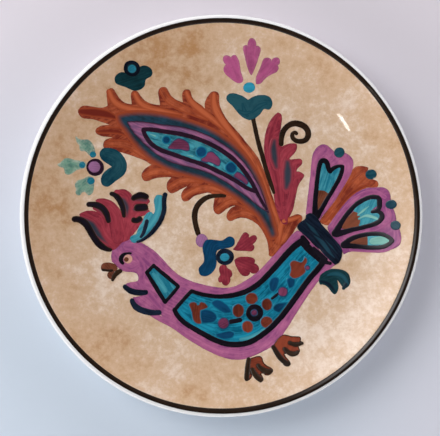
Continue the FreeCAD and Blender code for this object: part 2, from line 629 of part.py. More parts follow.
def feet(painting):
    painting.lay("feet",
                 patch([(13.3, -72.8), (16.5, -71.5), (20.4, -71.4), (21.4, -73.7), (24, -76),
                        (26.2, -77.8), (25.2, -79.4), (21.5, -79.4)],
                       [(21.5, -79.4), (20.3, -79.5), (21.3, -82.3), (19.8, -83.6),
                        (17.3, -81.3), (15.6, -80.2)],
                       [(15.6, -80.2), (14.4, -82.3), (12.4, -83), (11.6, -81.5), (12.3, -77),
                        (13.3, -72.8)]),
                 patch([(25.4, -66.4), (27.5, -64), (29.5, -61.5), (32, -60.2), (36, -61),
                        (40.3, -61.6), (40.2, -63.3)],
                       [(40.2, -63.3), (41.6, -64.2), (39.3, -65.6), (39.8, -67.8),
                        (38.6, -69.8), (35.8, -70.6), (33, -69.6), (32, -70)],
                       [(32, -70), (34, -72.6), (35, -74.9), (33.3, -75.8), (30.5, -73.6),
                        (27.8, -70), (25.4, -66.4)]))
    painting.lay("feet_strokes",
                 stroke([(13.9, -72.4), (13.2, -77), (12.8, -81.6)], [2, 2.3, 2.4]),
                 stroke([(15.8, -77.8), (17.3, -80.3), (19.8, -82.5)], [2.2, 2.4, 2.4]),
                 stroke([(18.8, -75.6), (21.6, -77.8), (24.8, -78.4)], [1.6, 2.2, 2.2]),
                 stroke([(26.4, -66.4), (28.3, -69.6), (31, -72.9), (33.8, -74.5)],
                        [2, 2.4, 2.4, 2.2]),
                 stroke([(32.2, -67.3), (34, -69), (36.5, -69.8), (38.6, -68.9)],
                        [1.6, 2.2, 2.2, 1.8]),
                 stroke([(34.8, -64.2), (38, -65), (41, -64.3)], [1.4, 1.9, 1.5]))


# ---------------------------------------------------------------- the tail

def tail(painting):
    painting.lay("tail_feather",
                 patch([(50.3, -2.6), (52.5, 0.8), (55.5, 4.8), (58.5, 9), (61.5, 13.8),
                        (64.2, 18.5), (66.3, 23)],
                       [(66.3, 23), (68.5, 24.9), (71.5, 25.2), (74.3, 24.4)],
                       [(74.3, 24.4), (74.5, 21), (76.5, 18.5), (78.9, 17.4), (79.2, 15.5),
                        (77.6, 14.2)],
                       [(77.6, 14.2), (73, 13.9), (69, 12), (65, 8.6), (61, 3.8), (57, -1.7),
                        (54.6, -4.6)],
                       [(54.6, -4.6), (52.3, -4.3), (50.3, -2.6)]))
    painting.lay("tail_fan",
                 patch([(43.3, 0.8), (43.7, 5), (44.3, 10), (45, 16), (45.7, 22), (46.2, 28),
                        (47.5, 33), (50, 35.7), (53, 36.2), (55.7, 34.3), (58, 32.5),
                        (61, 32.3), (64.3, 31.2), (66.6, 28.5), (66.9, 25), (65.8, 21.5),
                        (63.8, 17.5), (61, 13), (58, 8), (55, 4), (52, 0.5), (50.2, -2.2)],
                       [(50.2, -2.2), (46.5, 1.2), (43.3, 0.8)]),
                 patch([(54.3, -5.5), (57, -1.5), (61, 4), (65, 8.8), (69, 12.2), (73.5, 13.9),
                        (78.5, 14.4), (82.5, 14), (84.6, 12), (85.3, 8), (86.3, 4),
                        (87.6, 0.5), (88, -3), (89.5, -7), (90.2, -11), (89.2, -14.6),
                        (86.5, -16.4), (80, -17.4), (72, -17.8), (66, -18), (62.3, -19.4)],
                       [(62.3, -19.4), (60.8, -16), (57.5, -11.8), (54.3, -5.5)]))
    painting.lay("tail_bases",
                 patch([(48.9, 12.9), (52, 13), (54.9, 11.2)],
                       [(54.9, 11.2), (52.4, 7.3), (49.4, 2.8)],
                       [(49.4, 2.8), (48.5, 7), (48.9, 12.9)]),
                 patch([(60.8, -5.8), (63.8, -1.4), (67.6, 2.2)],
                       [(67.6, 2.2), (70, 0.8), (70.6, -1.8), (69.6, -5.2)],
                       [(69.6, -5.2), (65, -6.6), (60.8, -5.8)]),
                 patch([(63.5, -13.6), (68.5, -11), (74.2, -9.7)],
                       [(74.2, -9.7), (74.2, -15.4)],
                       [(74.2, -15.4), (69, -15), (63.5, -13.6)]))
    painting.lay("tail_hearts",
                 patch([(48.9, 12.9), (49.1, 20), (50, 25), (51.7, 28.1), (53.4, 27.4),
                        (54.4, 24.8), (55.5, 22.7)],
                       [(55.5, 22.7), (58, 24.5), (61.7, 25.1)],
                       [(61.7, 25.1), (60.9, 21.5), (59.4, 18), (57.2, 14), (54.9, 11.2)],
                       [(54.9, 11.2), (52, 13), (48.9, 12.9)]),
                 patch([(67.6, 2.2), (69.6, 6), (73.5, 8.6), (77.3, 9.5), (79.6, 8.8)],
                       [(79.6, 8.8), (78.6, 5.4), (76.4, 3.6), (75.8, 2.1)],
                       [(75.8, 2.1), (79, 2), (80.8, 0.8), (80.8, -1.3), (79, -3.2),
                        (75.5, -4.7), (69.6, -5.2)],
                       [(69.6, -5.2), (70.6, -1.8), (70, 0.8), (67.6, 2.2)]),
                 patch([(74.2, -9.7), (79, -9.1), (83, -10.2), (86, -12.4)],
                       [(86, -12.4), (83.5, -14.6), (79.5, -15.8), (74.2, -15.4)],
                       [(74.2, -15.4), (74.2, -9.7)]))
    painting.lay("tail_outlines",
                 stroke([(48, -0.5), (47.9, 5), (48.2, 10), (48.7, 15), (49.2, 20), (50, 25),
                         (51.7, 28.2), (53.4, 27.6), (54.4, 24.8), (55.5, 22.7)],
                        [3.2, 2.8, 2.5, 2.4, 2.3, 2.4, 2.6, 2.4]),
                 stroke([(55.5, 22.7), (57.5, 24.4), (60, 25.3), (61.6, 25.2)], [2.2, 2.2, 1.8, 1.6]),
                 stroke([(61.6, 25), (61, 21.5), (59.5, 18), (57.3, 14), (54.9, 10),
                         (52.3, 5.5), (50, 1.5), (48.8, -0.5)], [2, 2.4, 2.2, 2.4, 2.8]),
                 stroke([(58, -8.8), (60.5, -4.5), (63, -0.5), (66, 3.3), (69.5, 6.6),
                         (73.5, 8.8), (77.3, 9.6), (79.6, 8.8), (79.9, 6.5), (79.6, 3.8),
                         (77.8, 2.4), (76.4, 2.1)], [3.6, 2.7, 2.4, 2.4, 2.5, 2.4, 2.6, 1.8]),
                 stroke([(77.4, 2.2), (79.3, 2.2), (80.9, 0.9), (80.9, -1.3), (79, -3.2),
                         (75.5, -4.7), (71, -5.9), (66.5, -7), (62, -8.3), (58.8, -9.2)],
                        [1.8, 2.5, 2.5, 2.4, 2.4, 2.8, 3.4]),
                 stroke([(62.2, -14.6), (65, -12.3), (69, -10.4), (74, -9.3), (79, -9),
                         (83, -10), (85.8, -12.3)], [3, 2.4, 2.3, 2.4]),
                 stroke([(85.8, -12.5), (83.5, -14.6), (79.5, -15.8), (74, -15.8), (68, -15.3),
                         (62.4, -15)], [2.4, 2.3, 2.4, 3]))
    painting.lay("tail_dots", dot(60, 32.2, 2.5), dot(75.7, 21, 2.6, 2.4),
                 dot(85.5, 5.8, 2.6, 2.2), dot(87.6, -4.7, 2.3))
    painting.lay("tail_binding", patch(
        [(43.3, 0.3), (46, 1.3), (48.6, -0.6), (51, -4), (54.5, -8), (58.2, -12.5),
         (61.2, -16.5), (61.3, -20), (59.8, -23.6), (58, -24.7)],
        [(58, -24.7), (54, -21), (50.4, -17)],
        [(50.4, -17), (47, -14.2), (44, -11), (40.6, -8), (38.9, -5.8), (39.8, -3.8),
         (42.5, -1.8), (43.3, 0.3)]))
    painting.lay("tail_spur", patch(
        [(50.4, -30.2), (53.5, -27.8), (57.5, -26.9), (61.5, -27.4), (64.5, -29.3),
         (65.4, -32.2), (64.6, -35.3), (62.6, -36.6), (61, -35), (58.8, -32.3)],
        [(58.8, -32.3), (59.4, -35), (59, -38), (57.6, -39.6), (56.2, -38.6), (54.3, -36),
         (52.3, -34.9), (50.3, -34.8)],
        [(50.3, -34.8), (49.8, -32.5), (50.4, -30.2)]))


# ---------------------------------------------------------------- the plume

def plume(painting):
    painting.lay("plume_feather", patch(
        [(-55.8, 46), (-60, 47.5), (-66, 49), (-70.5, 50), (-71.5, 52.3), (-70, 54.8),
         (-65, 55), (-60, 54.6), (-57.2, 55.6)],
        [(-57.2, 55.6), (-57.5, 60), (-56.8, 63.3), (-55, 64.3), (-53, 62), (-51.3, 59.3),
         (-48.5, 57.2), (-45, 56.6)],
        [(-45, 56.6), (-45.5, 60), (-44.8, 62.8), (-43, 63.2), (-41, 61.2), (-38.8, 58.6),
         (-35, 56.8), (-31, 56.2)],
        [(-31, 56.2), (-31.6, 61), (-31, 64.6), (-28.3, 65.2), (-26.5, 62.8), (-24.5, 60.2),
         (-21.8, 58.5), (-19.2, 57.8)],
        [(-19.2, 57.8), (-19.6, 61), (-18.7, 63.8), (-16.2, 64), (-15, 61), (-13.5, 58.8),
         (-10.8, 56.8), (-7.9, 54)],
        [(-7.9, 54), (-8, 58), (-6.6, 61), (-3.5, 63.3), (-1.4, 62.4), (-1.1, 59),
         (-0.3, 55.2), (2, 50.5), (5, 46.6), (9, 42.2), (12.5, 37.8), (16, 33.5),
         (19, 29.3), (21.5, 24), (23.5, 18.5), (25.5, 12)],
        [(25.5, 12), (28, 5), (31, 1), (35.5, -0.4), (38, 0.7), (41, 0.1)],
        [(41, 0.1), (41.3, -1.6), (39.2, -4.5), (36.6, -8.5), (33, -13.5), (29, -18.8),
         (26.3, -20.6), (24.4, -20)],
        [(24.4, -20), (24, -14.5), (22.4, -9.5), (19, -4.6), (15, -1.9), (11, -0.8),
         (7, -1.7), (4.3, -2.4), (2.9, -0.5), (3.5, 2), (5.5, 4.2), (7.8, 5.3)],
        [(7.8, 5.3), (4.5, 4.6), (2, 3), (0.2, 1.5), (-1.8, 1), (-3.5, 2.5), (-3.8, 5.5),
         (-3.2, 9)],
        [(-3.2, 9), (-5.5, 11.8), (-10, 11.4), (-14, 10), (-17, 7.8), (-19, 7.6),
         (-20.2, 10), (-19.2, 13), (-16.5, 15.2)],
        [(-16.5, 15.2), (-20, 14), (-23, 12.3), (-25.7, 11.8), (-27.6, 14.5), (-27, 17.5),
         (-25, 19.6)],
        [(-25, 19.6), (-30, 19.8), (-35, 18.8), (-39, 18), (-40.4, 20.2), (-39.5, 23),
         (-37.5, 24.9), (-35.2, 26)],
        [(-35.2, 26), (-40, 28.8), (-46, 31), (-51, 32.6), (-56, 33.3), (-59.2, 34.3),
         (-59.3, 37.5), (-57, 39.2), (-54.6, 39.6)],
        [(-54.6, 39.6), (-58, 40.3), (-62, 41.1), (-63.4, 42.8), (-61.8, 45), (-58.5, 45.9),
         (-55.8, 46)]))
    painting.lay("plume_teal_band", patch(
        [(-52, 50.6), (-46, 52), (-38, 52.2), (-30, 51.3), (-22, 49.6), (-14, 47.3),
         (-7, 44.6), (-1, 41.4), (4.5, 37.6), (9.5, 33.2), (13.5, 28.6), (17, 23),
         (20, 17), (22.5, 10), (24.5, 3), (26.4, -3), (28, -9.5)],
        [(28, -9.5), (26.2, -10.8), (24.6, -9)],
        [(24.6, -9), (22, -3.8), (19, 0.6), (14, 5.2), (8, 9.9), (2, 13.8), (-4, 16.9),
         (-10, 19.2), (-18, 21.4), (-25, 23.6), (-30, 26), (-35, 29), (-40, 33.3),
         (-45, 38.8), (-49, 44.5), (-51.8, 48.8), (-52, 50.6)]))
    painting.lay("plume_violet_band", patch(
        [(-47.8, 48), (-42, 48.2), (-36, 47.6), (-30, 46.7), (-22, 45.9), (-14, 44),
         (-7, 41.4), (0, 37.6), (5, 34.2), (10, 29.6), (14, 24.8), (17.5, 19.3),
         (20.5, 13.5), (22.5, 8), (24.6, 1.5)],
        [(24.6, 1.5), (19.5, 4.4), (14, 8.9), (8, 13.2), (2, 17.3), (-4, 20.6), (-10, 23),
         (-18, 25.1), (-25, 27.1), (-31, 30), (-37, 34.6), (-42, 39.4), (-46.3, 44.6),
         (-47.8, 48)]))
    upper_rib = [(-39.4, 43.9), (-35, 43.9), (-30, 43.2), (-22, 42), (-14, 40), (-8, 37.8),
                 (-2, 34.8), (4, 30.8), (9, 26.3), (13, 21.2), (16, 16.5), (18, 12.6)]
    lower_rib = [(18, 12.6), (13, 14.4), (8, 17.6), (2, 21), (-4, 24), (-10, 26.5),
                 (-18, 29.2), (-25, 31.6), (-31, 33.8), (-35, 36.4), (-38, 40), (-39.4, 43.9)]
    painting.lay("plume_turquoise", patch(upper_rib, lower_rib))
    painting.lay("plume_crimson_buds",
                 patch([(-27, 35), (-24.5, 38), (-21.5, 39.6), (-18, 38.5), (-15.8, 35.2),
                        (-16.3, 33.2), (-20, 33.6), (-24, 33.8)]),
                 patch([(-10.5, 28.3), (-8, 31.3), (-5, 33), (-2, 30.8), (0, 27.4),
                        (-0.8, 25.6), (-5, 27), (-8.3, 27.3)]),
                 patch([(6.5, 20.7), (9, 22.5), (11.5, 20.8), (14, 17.3), (13.3, 16),
                        (10.5, 17.5), (7.5, 18.7)]))
    painting.lay("plume_blue_spots", dot(-27.8, 38.8, 2.2), dot(-10, 32.6, 2.9),
                 dot(5.2, 24.6, 3.1))
    painting.lay("plume_outline",
                 stroke(upper_rib + [(20, 8.8), (23, 3.6)], [2.3, 2.3, 2.3, 2.4, 2.2, 1.4]),
                 stroke(lower_rib, [2, 2.3, 2.3, 2.3]))


def crimson_spray(painting):
    painting.lay("crimson_leaf", patch(
        [(29, 52.6), (26.6, 50.6), (24.6, 47.6), (23.1, 43.6), (22.2, 39), (22, 34.5),
         (22.6, 29), (24, 22.5), (26, 16), (27, 10), (28, 4), (29.5, -1), (31, -4.2)],
        [(31, -4.2), (33.4, -4.2), (34.3, -1)],
        [(34.3, -1), (35.8, 1.5), (37, 5), (37.8, 9), (38.6, 13), (39.6, 16.2),
         (41.2, 18.6), (42.3, 20.6), (41, 22), (38.4, 22.5)],
        [(38.4, 22.5), (39.3, 24.6), (41.2, 26.8), (41, 28.6), (38, 29), (34.3, 28.8)],
        [(34.3, 28.8), (36.6, 31.2), (38.4, 34), (38.4, 36.5), (36, 36.9), (33, 36.2),
         (31, 35.2)],
        [(31, 35.2), (30.2, 39), (30.2, 43.5), (30.8, 48), (30.8, 51), (29, 52.6)]))
    painting.lay("crimson_leaf_veins",
                 stroke([(27.2, 38.3), (26.9, 34.5), (27.3, 29.5), (28.2, 25)],
                        [2.6, 4.2, 4, 2.4]),
                 stroke([(33.9, 27.2), (34, 24), (33.9, 19), (33.3, 14.5)], [3.2, 4.6, 4.6, 2.8]))
    painting.lay("tendril", stroke(
        [(30.7, 36.8), (30.8, 40), (31.8, 43.2), (34, 45.8), (37.5, 47.1), (41, 46.3),
         (43.7, 44), (44.3, 41), (43, 38.7), (40.3, 38), (37.3, 38.9), (36.2, 41),
         (37, 42.4), (38.4, 42)], [2.4, 2.8, 2.9, 3.1, 3, 2.7, 2.3, 1.8]))


# ---------------------------------------------------------------- the flowers

def top_flower(painting):
    painting.lay("top_flower_stem", stroke(
        [(16.4, 49.6), (17.2, 45.5), (18.2, 41), (19.3, 36.5), (20.8, 31.5), (22.2, 26.5),
         (23.7, 21.5), (25.4, 16.5), (27, 12)], [2.2, 2.2, 2.4, 2.3, 2.4, 1.8]))
    painting.lay("top_flower_petals",
                 patch([(15.3, 71.3), (13.6, 74.6), (12.4, 79), (11.3, 83.2), (11.4, 85.2),
                        (12.6, 85.8), (13.6, 85.4)],
                       [(13.6, 85.4), (13.7, 87.6), (15.5, 89.1), (17.2, 87.8), (17.4, 85.2)],
                       [(17.4, 85.2), (18.7, 85.3), (19.8, 84), (19.6, 82), (18.6, 79),
                        (17, 74.5), (15.3, 71.3)]),
                 patch([(7.4, 81), (5.9, 80.9), (5, 79.7)],
                       [(5, 79.7), (3.6, 80.9), (1.6, 80.6), (1.2, 78.6), (2.7, 76.6)],
                       [(2.7, 76.6), (1.4, 74.6), (2, 72.4), (4.6, 70), (7.6, 67.9),
                        (10, 67.5), (11.1, 68.8), (10.6, 71.2), (9.6, 75.4), (8.6, 79.3),
                        (7.4, 81)]),
                 patch([(18, 67), (17.6, 69), (19, 73), (20.6, 77), (22, 79.4), (24.2, 79.5),
                        (25.6, 77.8)],
                       [(25.6, 77.8), (27, 79.6), (29.2, 79.2), (29.6, 77.4), (28.3, 76)],
                       [(28.3, 76), (29, 74.4), (28, 72.8), (26, 71.9), (22.1, 69.3),
                        (19.6, 67.1), (18, 67)]))
    painting.lay("top_flower_cup", patch(
        [(13.8, 59), (11.3, 60.6), (8, 62), (5, 62.2), (3, 60.8), (3, 59), (5, 57),
         (8, 53.4), (11.3, 50.3), (14.6, 48.9)],
        [(14.6, 48.9), (18, 50.4), (20.6, 52.9), (22.2, 54.6), (24, 54.2), (25.7, 55.6),
         (25.9, 58.2), (24.2, 60.6), (20.4, 61.4), (16.6, 60.6), (13.8, 59)]))
    painting.lay("top_flower_dot", dot(14.3, 65.2, 2.9, 2.5))


def left_flower(painting):
    painting.lay("left_flower_petals",
                 patch([(-72.8, 39.8), (-70.8, 38.4), (-67, 38.3), (-65.3, 36.5), (-64, 33.5),
                        (-64.2, 31), (-66.3, 30.8), (-68.5, 32.8), (-71, 33.3),
                        (-71.3, 35.5), (-72.6, 37.5)]),
                 patch([(-82, 26), (-80, 27.5), (-78.5, 28.8), (-75.5, 28.6), (-72, 27.8),
                        (-68.5, 26.5), (-68.5, 25), (-71, 24), (-73.5, 23), (-76, 21.3),
                        (-78.3, 21.5), (-79, 24), (-81, 25)]),
                 patch([(-73.5, 16.5), (-72, 18), (-69.5, 18.8), (-67.5, 19.8), (-65.3, 19.3),
                        (-64.6, 17), (-64.8, 13.5), (-66, 11.2), (-67.5, 10.8),
                        (-68.5, 12), (-70.5, 12), (-71.5, 10.8), (-73, 11), (-73.3, 13.5)]))
    painting.lay("left_flower_dabs", dot(-64.9, 31.2, 1.5), dot(-70.2, 25.8, 1.6),
                 dot(-66, 17.8, 1.8))
    painting.lay("left_flower_cup", patch(
        [(-55.3, 25), (-57.6, 26.6), (-60.2, 28.6), (-61.5, 31.2), (-60.2, 33.9), (-57, 34.6),
         (-53.2, 33.6), (-50.2, 31), (-48.3, 27.5), (-48.1, 24)],
        [(-48.1, 24), (-49.6, 21), (-52.3, 18.8), (-55.3, 16.5), (-58, 15), (-60.2, 15.9),
         (-60.9, 18.6), (-60, 21.3), (-57.8, 23.5), (-55.3, 25)]))
    painting.lay("left_flower_ring", dot(-63.8, 24.7, 4.4))
    painting.lay("left_flower_heart", dot(-64.2, 24.9, 2.8))


def hanging_flower(painting):
    painting.lay("hanging_flower_stem", stroke(
        [(1.8, 10.3), (-3, 10.3), (-8, 9), (-11, 6.5), (-13, 3), (-13.4, -1), (-12.5, -6),
         (-11.6, -9)], [1.9, 2.2, 2.8, 3, 2.8, 2.6]))
    painting.lay("hanging_flower_joint", dot(-9.8, -12.5, 3, 3.3))
    painting.lay("hanging_flower_petals",
                 patch([(6, -16.9), (8.2, -14.2), (10, -10.9), (12.4, -8.4), (14, -9.3),
                        (13.9, -11.1)],
                       [(13.9, -11.1), (15.4, -10.3), (17.4, -9.9), (18.2, -11.2),
                        (17.5, -13.1), (16, -14.4)],
                       [(16, -14.4), (16.9, -15.9), (15.9, -17.7), (14, -17.9),
                        (10.2, -17.6), (7.6, -17.5), (6, -16.9)]),
                 patch([(6.8, -22.5), (8.5, -21.3), (12, -20.8), (15.6, -21.2), (17.2, -22.4),
                        (16.7, -24.1)],
                       [(16.7, -24.1), (18.8, -25.4), (19.3, -27.4), (18, -29), (16, -29.2),
                        (14.7, -28.1)],
                       [(14.7, -28.1), (14, -30), (12.3, -30.6), (10.6, -30), (8.8, -27.6),
                        (7.4, -24.7), (6.8, -22.5)]),
                 patch([(0.8, -25), (2.2, -25), (3, -26.2), (4.9, -27.6), (5.7, -29.4),
                        (4.5, -31.4)],
                       [(4.5, -31.4), (4.4, -33.8), (2.8, -35.3), (1, -34.7), (0.5, -33.4)],
                       [(0.5, -33.4), (-1, -33.6), (-1.3, -31.8), (-0.3, -30), (-0.9, -27.8),
                        (-0.7, -26), (0.8, -25)]))
    painting.lay("hanging_flower_cup", patch(
        [(-7.5, -12.2), (-3, -12.3), (1.5, -12.1), (3, -11), (5.2, -10.6), (6.8, -12),
         (6.4, -14.8), (4, -16.1), (1, -16.6), (-2, -17.4)],
        [(-2, -17.4), (-2.6, -20.5), (-2.4, -24.5), (-3.5, -27.5), (-5.5, -29.5), (-8, -30.6),
         (-10.3, -30), (-11.2, -28), (-10.9, -26), (-9.7, -24.7), (-8.7, -23.2),
         (-8.7, -20), (-9.3, -17), (-9, -14.3), (-7.5, -12.2)]))
    painting.lay("hanging_flower_ring", dot(2, -20.8, 4.6, 4.2))
    painting.lay("hanging_flower_heart", dot(1.9, -21, 2.3, 1.9))


def bud(painting):
    painting.lay("bud_leaves",
                 patch([(-48.5, 72), (-51.5, 71.5), (-53.2, 69.6), (-53, 67.2), (-50.3, 65.7),
                        (-47, 64.6), (-43.5, 63.4), (-40.3, 64.3), (-38.6, 66.3), (-38, 69),
                        (-35.6, 70.4), (-34.7, 72.6), (-36.3, 75), (-39, 75.6),
                        (-41.3, 74.3)],
                       [(-41.3, 74.3), (-44.8, 72.5), (-48.5, 72)]),
                 dot(-44.8, 73.9, 3.9))
    painting.lay("bud_dot", dot(-44.7, 73.9, 1.9))


def painted_coats(layer):
    """Turns every colour's footprint into its share of the paint layer."""
    painting = Painting()
    for motif in (bird, plume, crimson_spray, top_flower, left_flower, hanging_flower, bud,
                  belly, crest, feet, tail):
        motif(painting)
    coats = []
    for label, faces in painting.inlaid():
        footprint = doc.addObject("Part::Feature", label + "_footprint")
        footprint.Shape = Part.makeCompound(faces)
        prism = doc.addObject("Part::Extrusion", label + "_prism")
        prism.Base = footprint
        prism.DirMode = "Custom"
        prism.Dir = Vector(0, 0, 1)
        prism.Solid = True
        prism.setExpression("LengthFwd", "Sizes.prism_height")
        coat = doc.addObject("Part::Common", label)
        coat.Label = label
        coat.Base = prism
        coat.Tool = layer
        coats.append(coat)
    doc.recompute()
    return coats


def write_steps(pieces):
    """Checks every object and then writes one file for each sub-part."""
    for item in doc.Objects:
        if "Invalid" in item.State or "Error" in item.State:
            raise RuntimeError("%s did not build: %s" % (item.Label, item.State))
    for piece in pieces:
        if piece.Shape.isNull() or not piece.Shape.isValid() or not piece.Shape.Solids:
            raise RuntimeError("%s has no valid solid" % piece.Label)
    os.makedirs("parts", exist_ok=True)
    for piece in pieces:
        piece.Shape.exportStep("parts/%s.step" % piece.Label)
        print("%-24s %2d solids %10.2f mm3" % (
            piece.Label, len(piece.Shape.Solids), piece.Shape.Volume))


blank = [clay_body(), white_glaze(), recess_glaze(), tan_ground(), rim_line()]
write_steps(blank + painted_coats(paint_layer()))
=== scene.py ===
import math

import bmesh
import bpy
import numpy as np
from bpy.props import FloatProperty, FloatVectorProperty, IntProperty, PointerProperty
from mathutils import Matrix, Vector, geometry


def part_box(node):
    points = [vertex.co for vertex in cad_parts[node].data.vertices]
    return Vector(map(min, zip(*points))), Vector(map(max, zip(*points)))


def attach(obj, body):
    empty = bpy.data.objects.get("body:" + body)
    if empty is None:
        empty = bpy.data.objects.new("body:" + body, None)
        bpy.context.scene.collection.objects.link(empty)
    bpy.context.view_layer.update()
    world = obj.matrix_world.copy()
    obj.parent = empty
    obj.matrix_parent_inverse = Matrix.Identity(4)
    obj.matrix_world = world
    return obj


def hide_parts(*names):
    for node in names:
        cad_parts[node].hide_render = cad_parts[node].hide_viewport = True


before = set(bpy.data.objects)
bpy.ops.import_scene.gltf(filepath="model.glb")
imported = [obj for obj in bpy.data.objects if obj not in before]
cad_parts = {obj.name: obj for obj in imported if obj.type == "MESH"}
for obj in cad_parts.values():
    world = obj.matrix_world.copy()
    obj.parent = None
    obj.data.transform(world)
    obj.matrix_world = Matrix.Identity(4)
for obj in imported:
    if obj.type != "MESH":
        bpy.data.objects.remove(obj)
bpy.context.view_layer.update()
boxes = {node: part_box(node) for node in ("tan_ground", "white_glaze", "recess_glaze", "rim_line")}

bl_info = {
    "name": "Hand Painted Plate",
    "version": (1, 0, 0),
    "blender": (4, 5, 0),
    "location": "View3D > Sidebar > Plate",
    "description": "Turns, glazes and paints a ceramic plate around its packed frame",
    "category": "Add Mesh",
}

MM = 0.001
DRAWING_UNIT = 0.994 * MM       # one unit of the drawing on the plate
MARKS = ("along", "across", "edge", "tone")     # what a touch of paint knows of its brush

# how many points the plate's section has along each stretch
FLAT_STEPS, WALL_STEPS, GROUND_STEPS, BACK_STEPS, RECESS_STEPS = 12, 60, 70, 36, 8
LIP_STEPS, HIDDEN_LIP_STEPS = 22, 14

WARP_STARTS = (0.6, 2.0)        # where the rim's two waves and its three waves begin, as angles
SEAM = 0.001 * MM               # points of a turned coat that are this close are one
CORNER = 0.5                    # edges that turn by a larger angle stay crisp
ROUNDED_TOE = 0.7               # share of the glaze that is left at its edge on the foot
STREAKS = (85.0, 900.0, 40.0)   # fineness of streaks along and across the brush, and by touch
GLASS_IOR = 1.5
GLOSS = {"Coat Weight": 0.55, "Coat Roughness": 0.045, "Coat IOR": GLASS_IOR,
         "Specular IOR Level": 0.08}

OUTLINE_STEP = 0.35 * MM        # between points along the edge of a filled touch
STROKE_STEP = 0.4 * MM          # between points along a stroke
GUIDE_STEP = 1.5 * MM           # between points along the brush's way
ROW_SHARE = 0.866               # height of a row of triangles, as a share of their side
BANKS = ((0.12 * MM, 1), (0.3 * MM, 1), (0.55 * MM, 2))     # how far in, and every which point
CLEAR_OF_EDGE = 0.7 * MM        # inner points keep this far from the edge
BEAD_PLACE, BEAD_WIDTH, BEAD_SHARE = 0.6 * MM, 0.35 * MM, 0.12      # paint heaped inside the edge
TREMORS = ((7.3 * MM, 0.5), (3.1 * MM, 0.35), (1.7 * MM, 0.2))      # wave lengths and shares
FULL_STROKE = 0.7 * MM          # strokes of a smaller half width carry less paint
STROKE_RAISE, ACCENT_RAISE, STROKE_COAT = 1.13, 0.15, 0.25      # as shares of a touch's coat
ROUND_END = np.array([0.25, 0.5, 0.72, 0.88, 0.97])     # places round the end of a stroke
ABOVE_ALL = 0.2                 # a height from which rays are cast down on the plate
WELD, SMALLEST = 0.003 * MM, 0.8 * MM       # points this close are one; smaller touches are left
FACING_UP = 0.5                 # how steeply a face of a CAD node has to look up to be its top
FEWEST_POINTS = 12              # of an outline, however small
ON_THE_EDGE = 0.01 * MM         # points this near the edge lie on it
WITHIN_OUTLINE, SAME_POINT = 1, 1e-5        # how faces are laid out: only inside, and how finely
BATCH = 1500                    # points whose distances are worked out at a time


def srgb(red, green, blue):
    """A colour given in screen values from 0 to 255, as linear light."""
    parts = [c / 255 for c in (red, green, blue)]
    return tuple(c / 12.92 if c < 0.04045 else ((c + 0.055) / 1.055) ** 2.4 for c in parts)


# ---------------------------------------------------------------- sizes and colours to change

def length(name, description, value, **limits):
    return FloatProperty(name=name, description=description, default=value, unit="LENGTH",
                         precision=5, **limits)


def colour(name, description, *value):
    return FloatVectorProperty(name=name, description=description, default=srgb(*value),
                               subtype="COLOR", min=0, max=1)


class PlateSizes(bpy.types.PropertyGroup):
    """Sizes of the turned plate and its coats."""
    well_radius: length("Well radius", "Radius of the flat floor", 45 * MM)
    wall_arc: length("Wall arc", "Radius of the curved wall, clay face", 107.9 * MM)
    clay_wall: length("Clay wall", "Thickness of the clay", 3.4 * MM)
    foot_width: length("Foot width", "Thickness of the foot ring", 5.5 * MM)
    glaze_coat: length("Glaze coat", "Thickness of the white glaze", 0.4 * MM)
    ground_coat: length("Ground coat", "Thickness of the tan ground", 0.25 * MM)
    ground_fade: length("Ground fade", "How far in the ground thins towards its edge", 1.2 * MM)
    warp: length("Warp", "How far the rim leaves its plane after firing", 0.12 * MM)
    segments: IntProperty(name="Segments", description="Steps round the plate", default=384,
                          min=48)


class PaintSizes(bpy.types.PropertyGroup):
    """Sizes of the brushwork."""
    coat: length("Coat", "Thickness of a touch of paint", 0.11 * MM)
    layer_step: length("Layer step", "How much each layer is raised by those below", 0.035 * MM)
    sink: length("Sink", "How far a touch reaches into the ground", 0.03 * MM)
    shoulder: length("Shoulder", "Width of a touch's rounded edge", 0.45 * MM)
    grain: length("Grain", "Distance between mesh points", 0.75 * MM)
    overlap: length("Overlap", "How far a colour runs under its neighbours", 0.12 * MM)
    tremor: length("Tremor", "Unevenness of a hand painted edge", 0.07 * MM)
    line_width: length("Line width", "Width of the banded line", 2.5 * MM)
    line_lift: length("Line lift", "How far the line's edges stand off the lip", 0.10 * MM)
    line_coat: length("Line coat", "How much higher the line is in its middle", 0.16 * MM)
    line_swing: FloatProperty(name="Line swing", description="How much its width changes",
                              default=0.16, subtype="FACTOR", min=0, max=0.6)


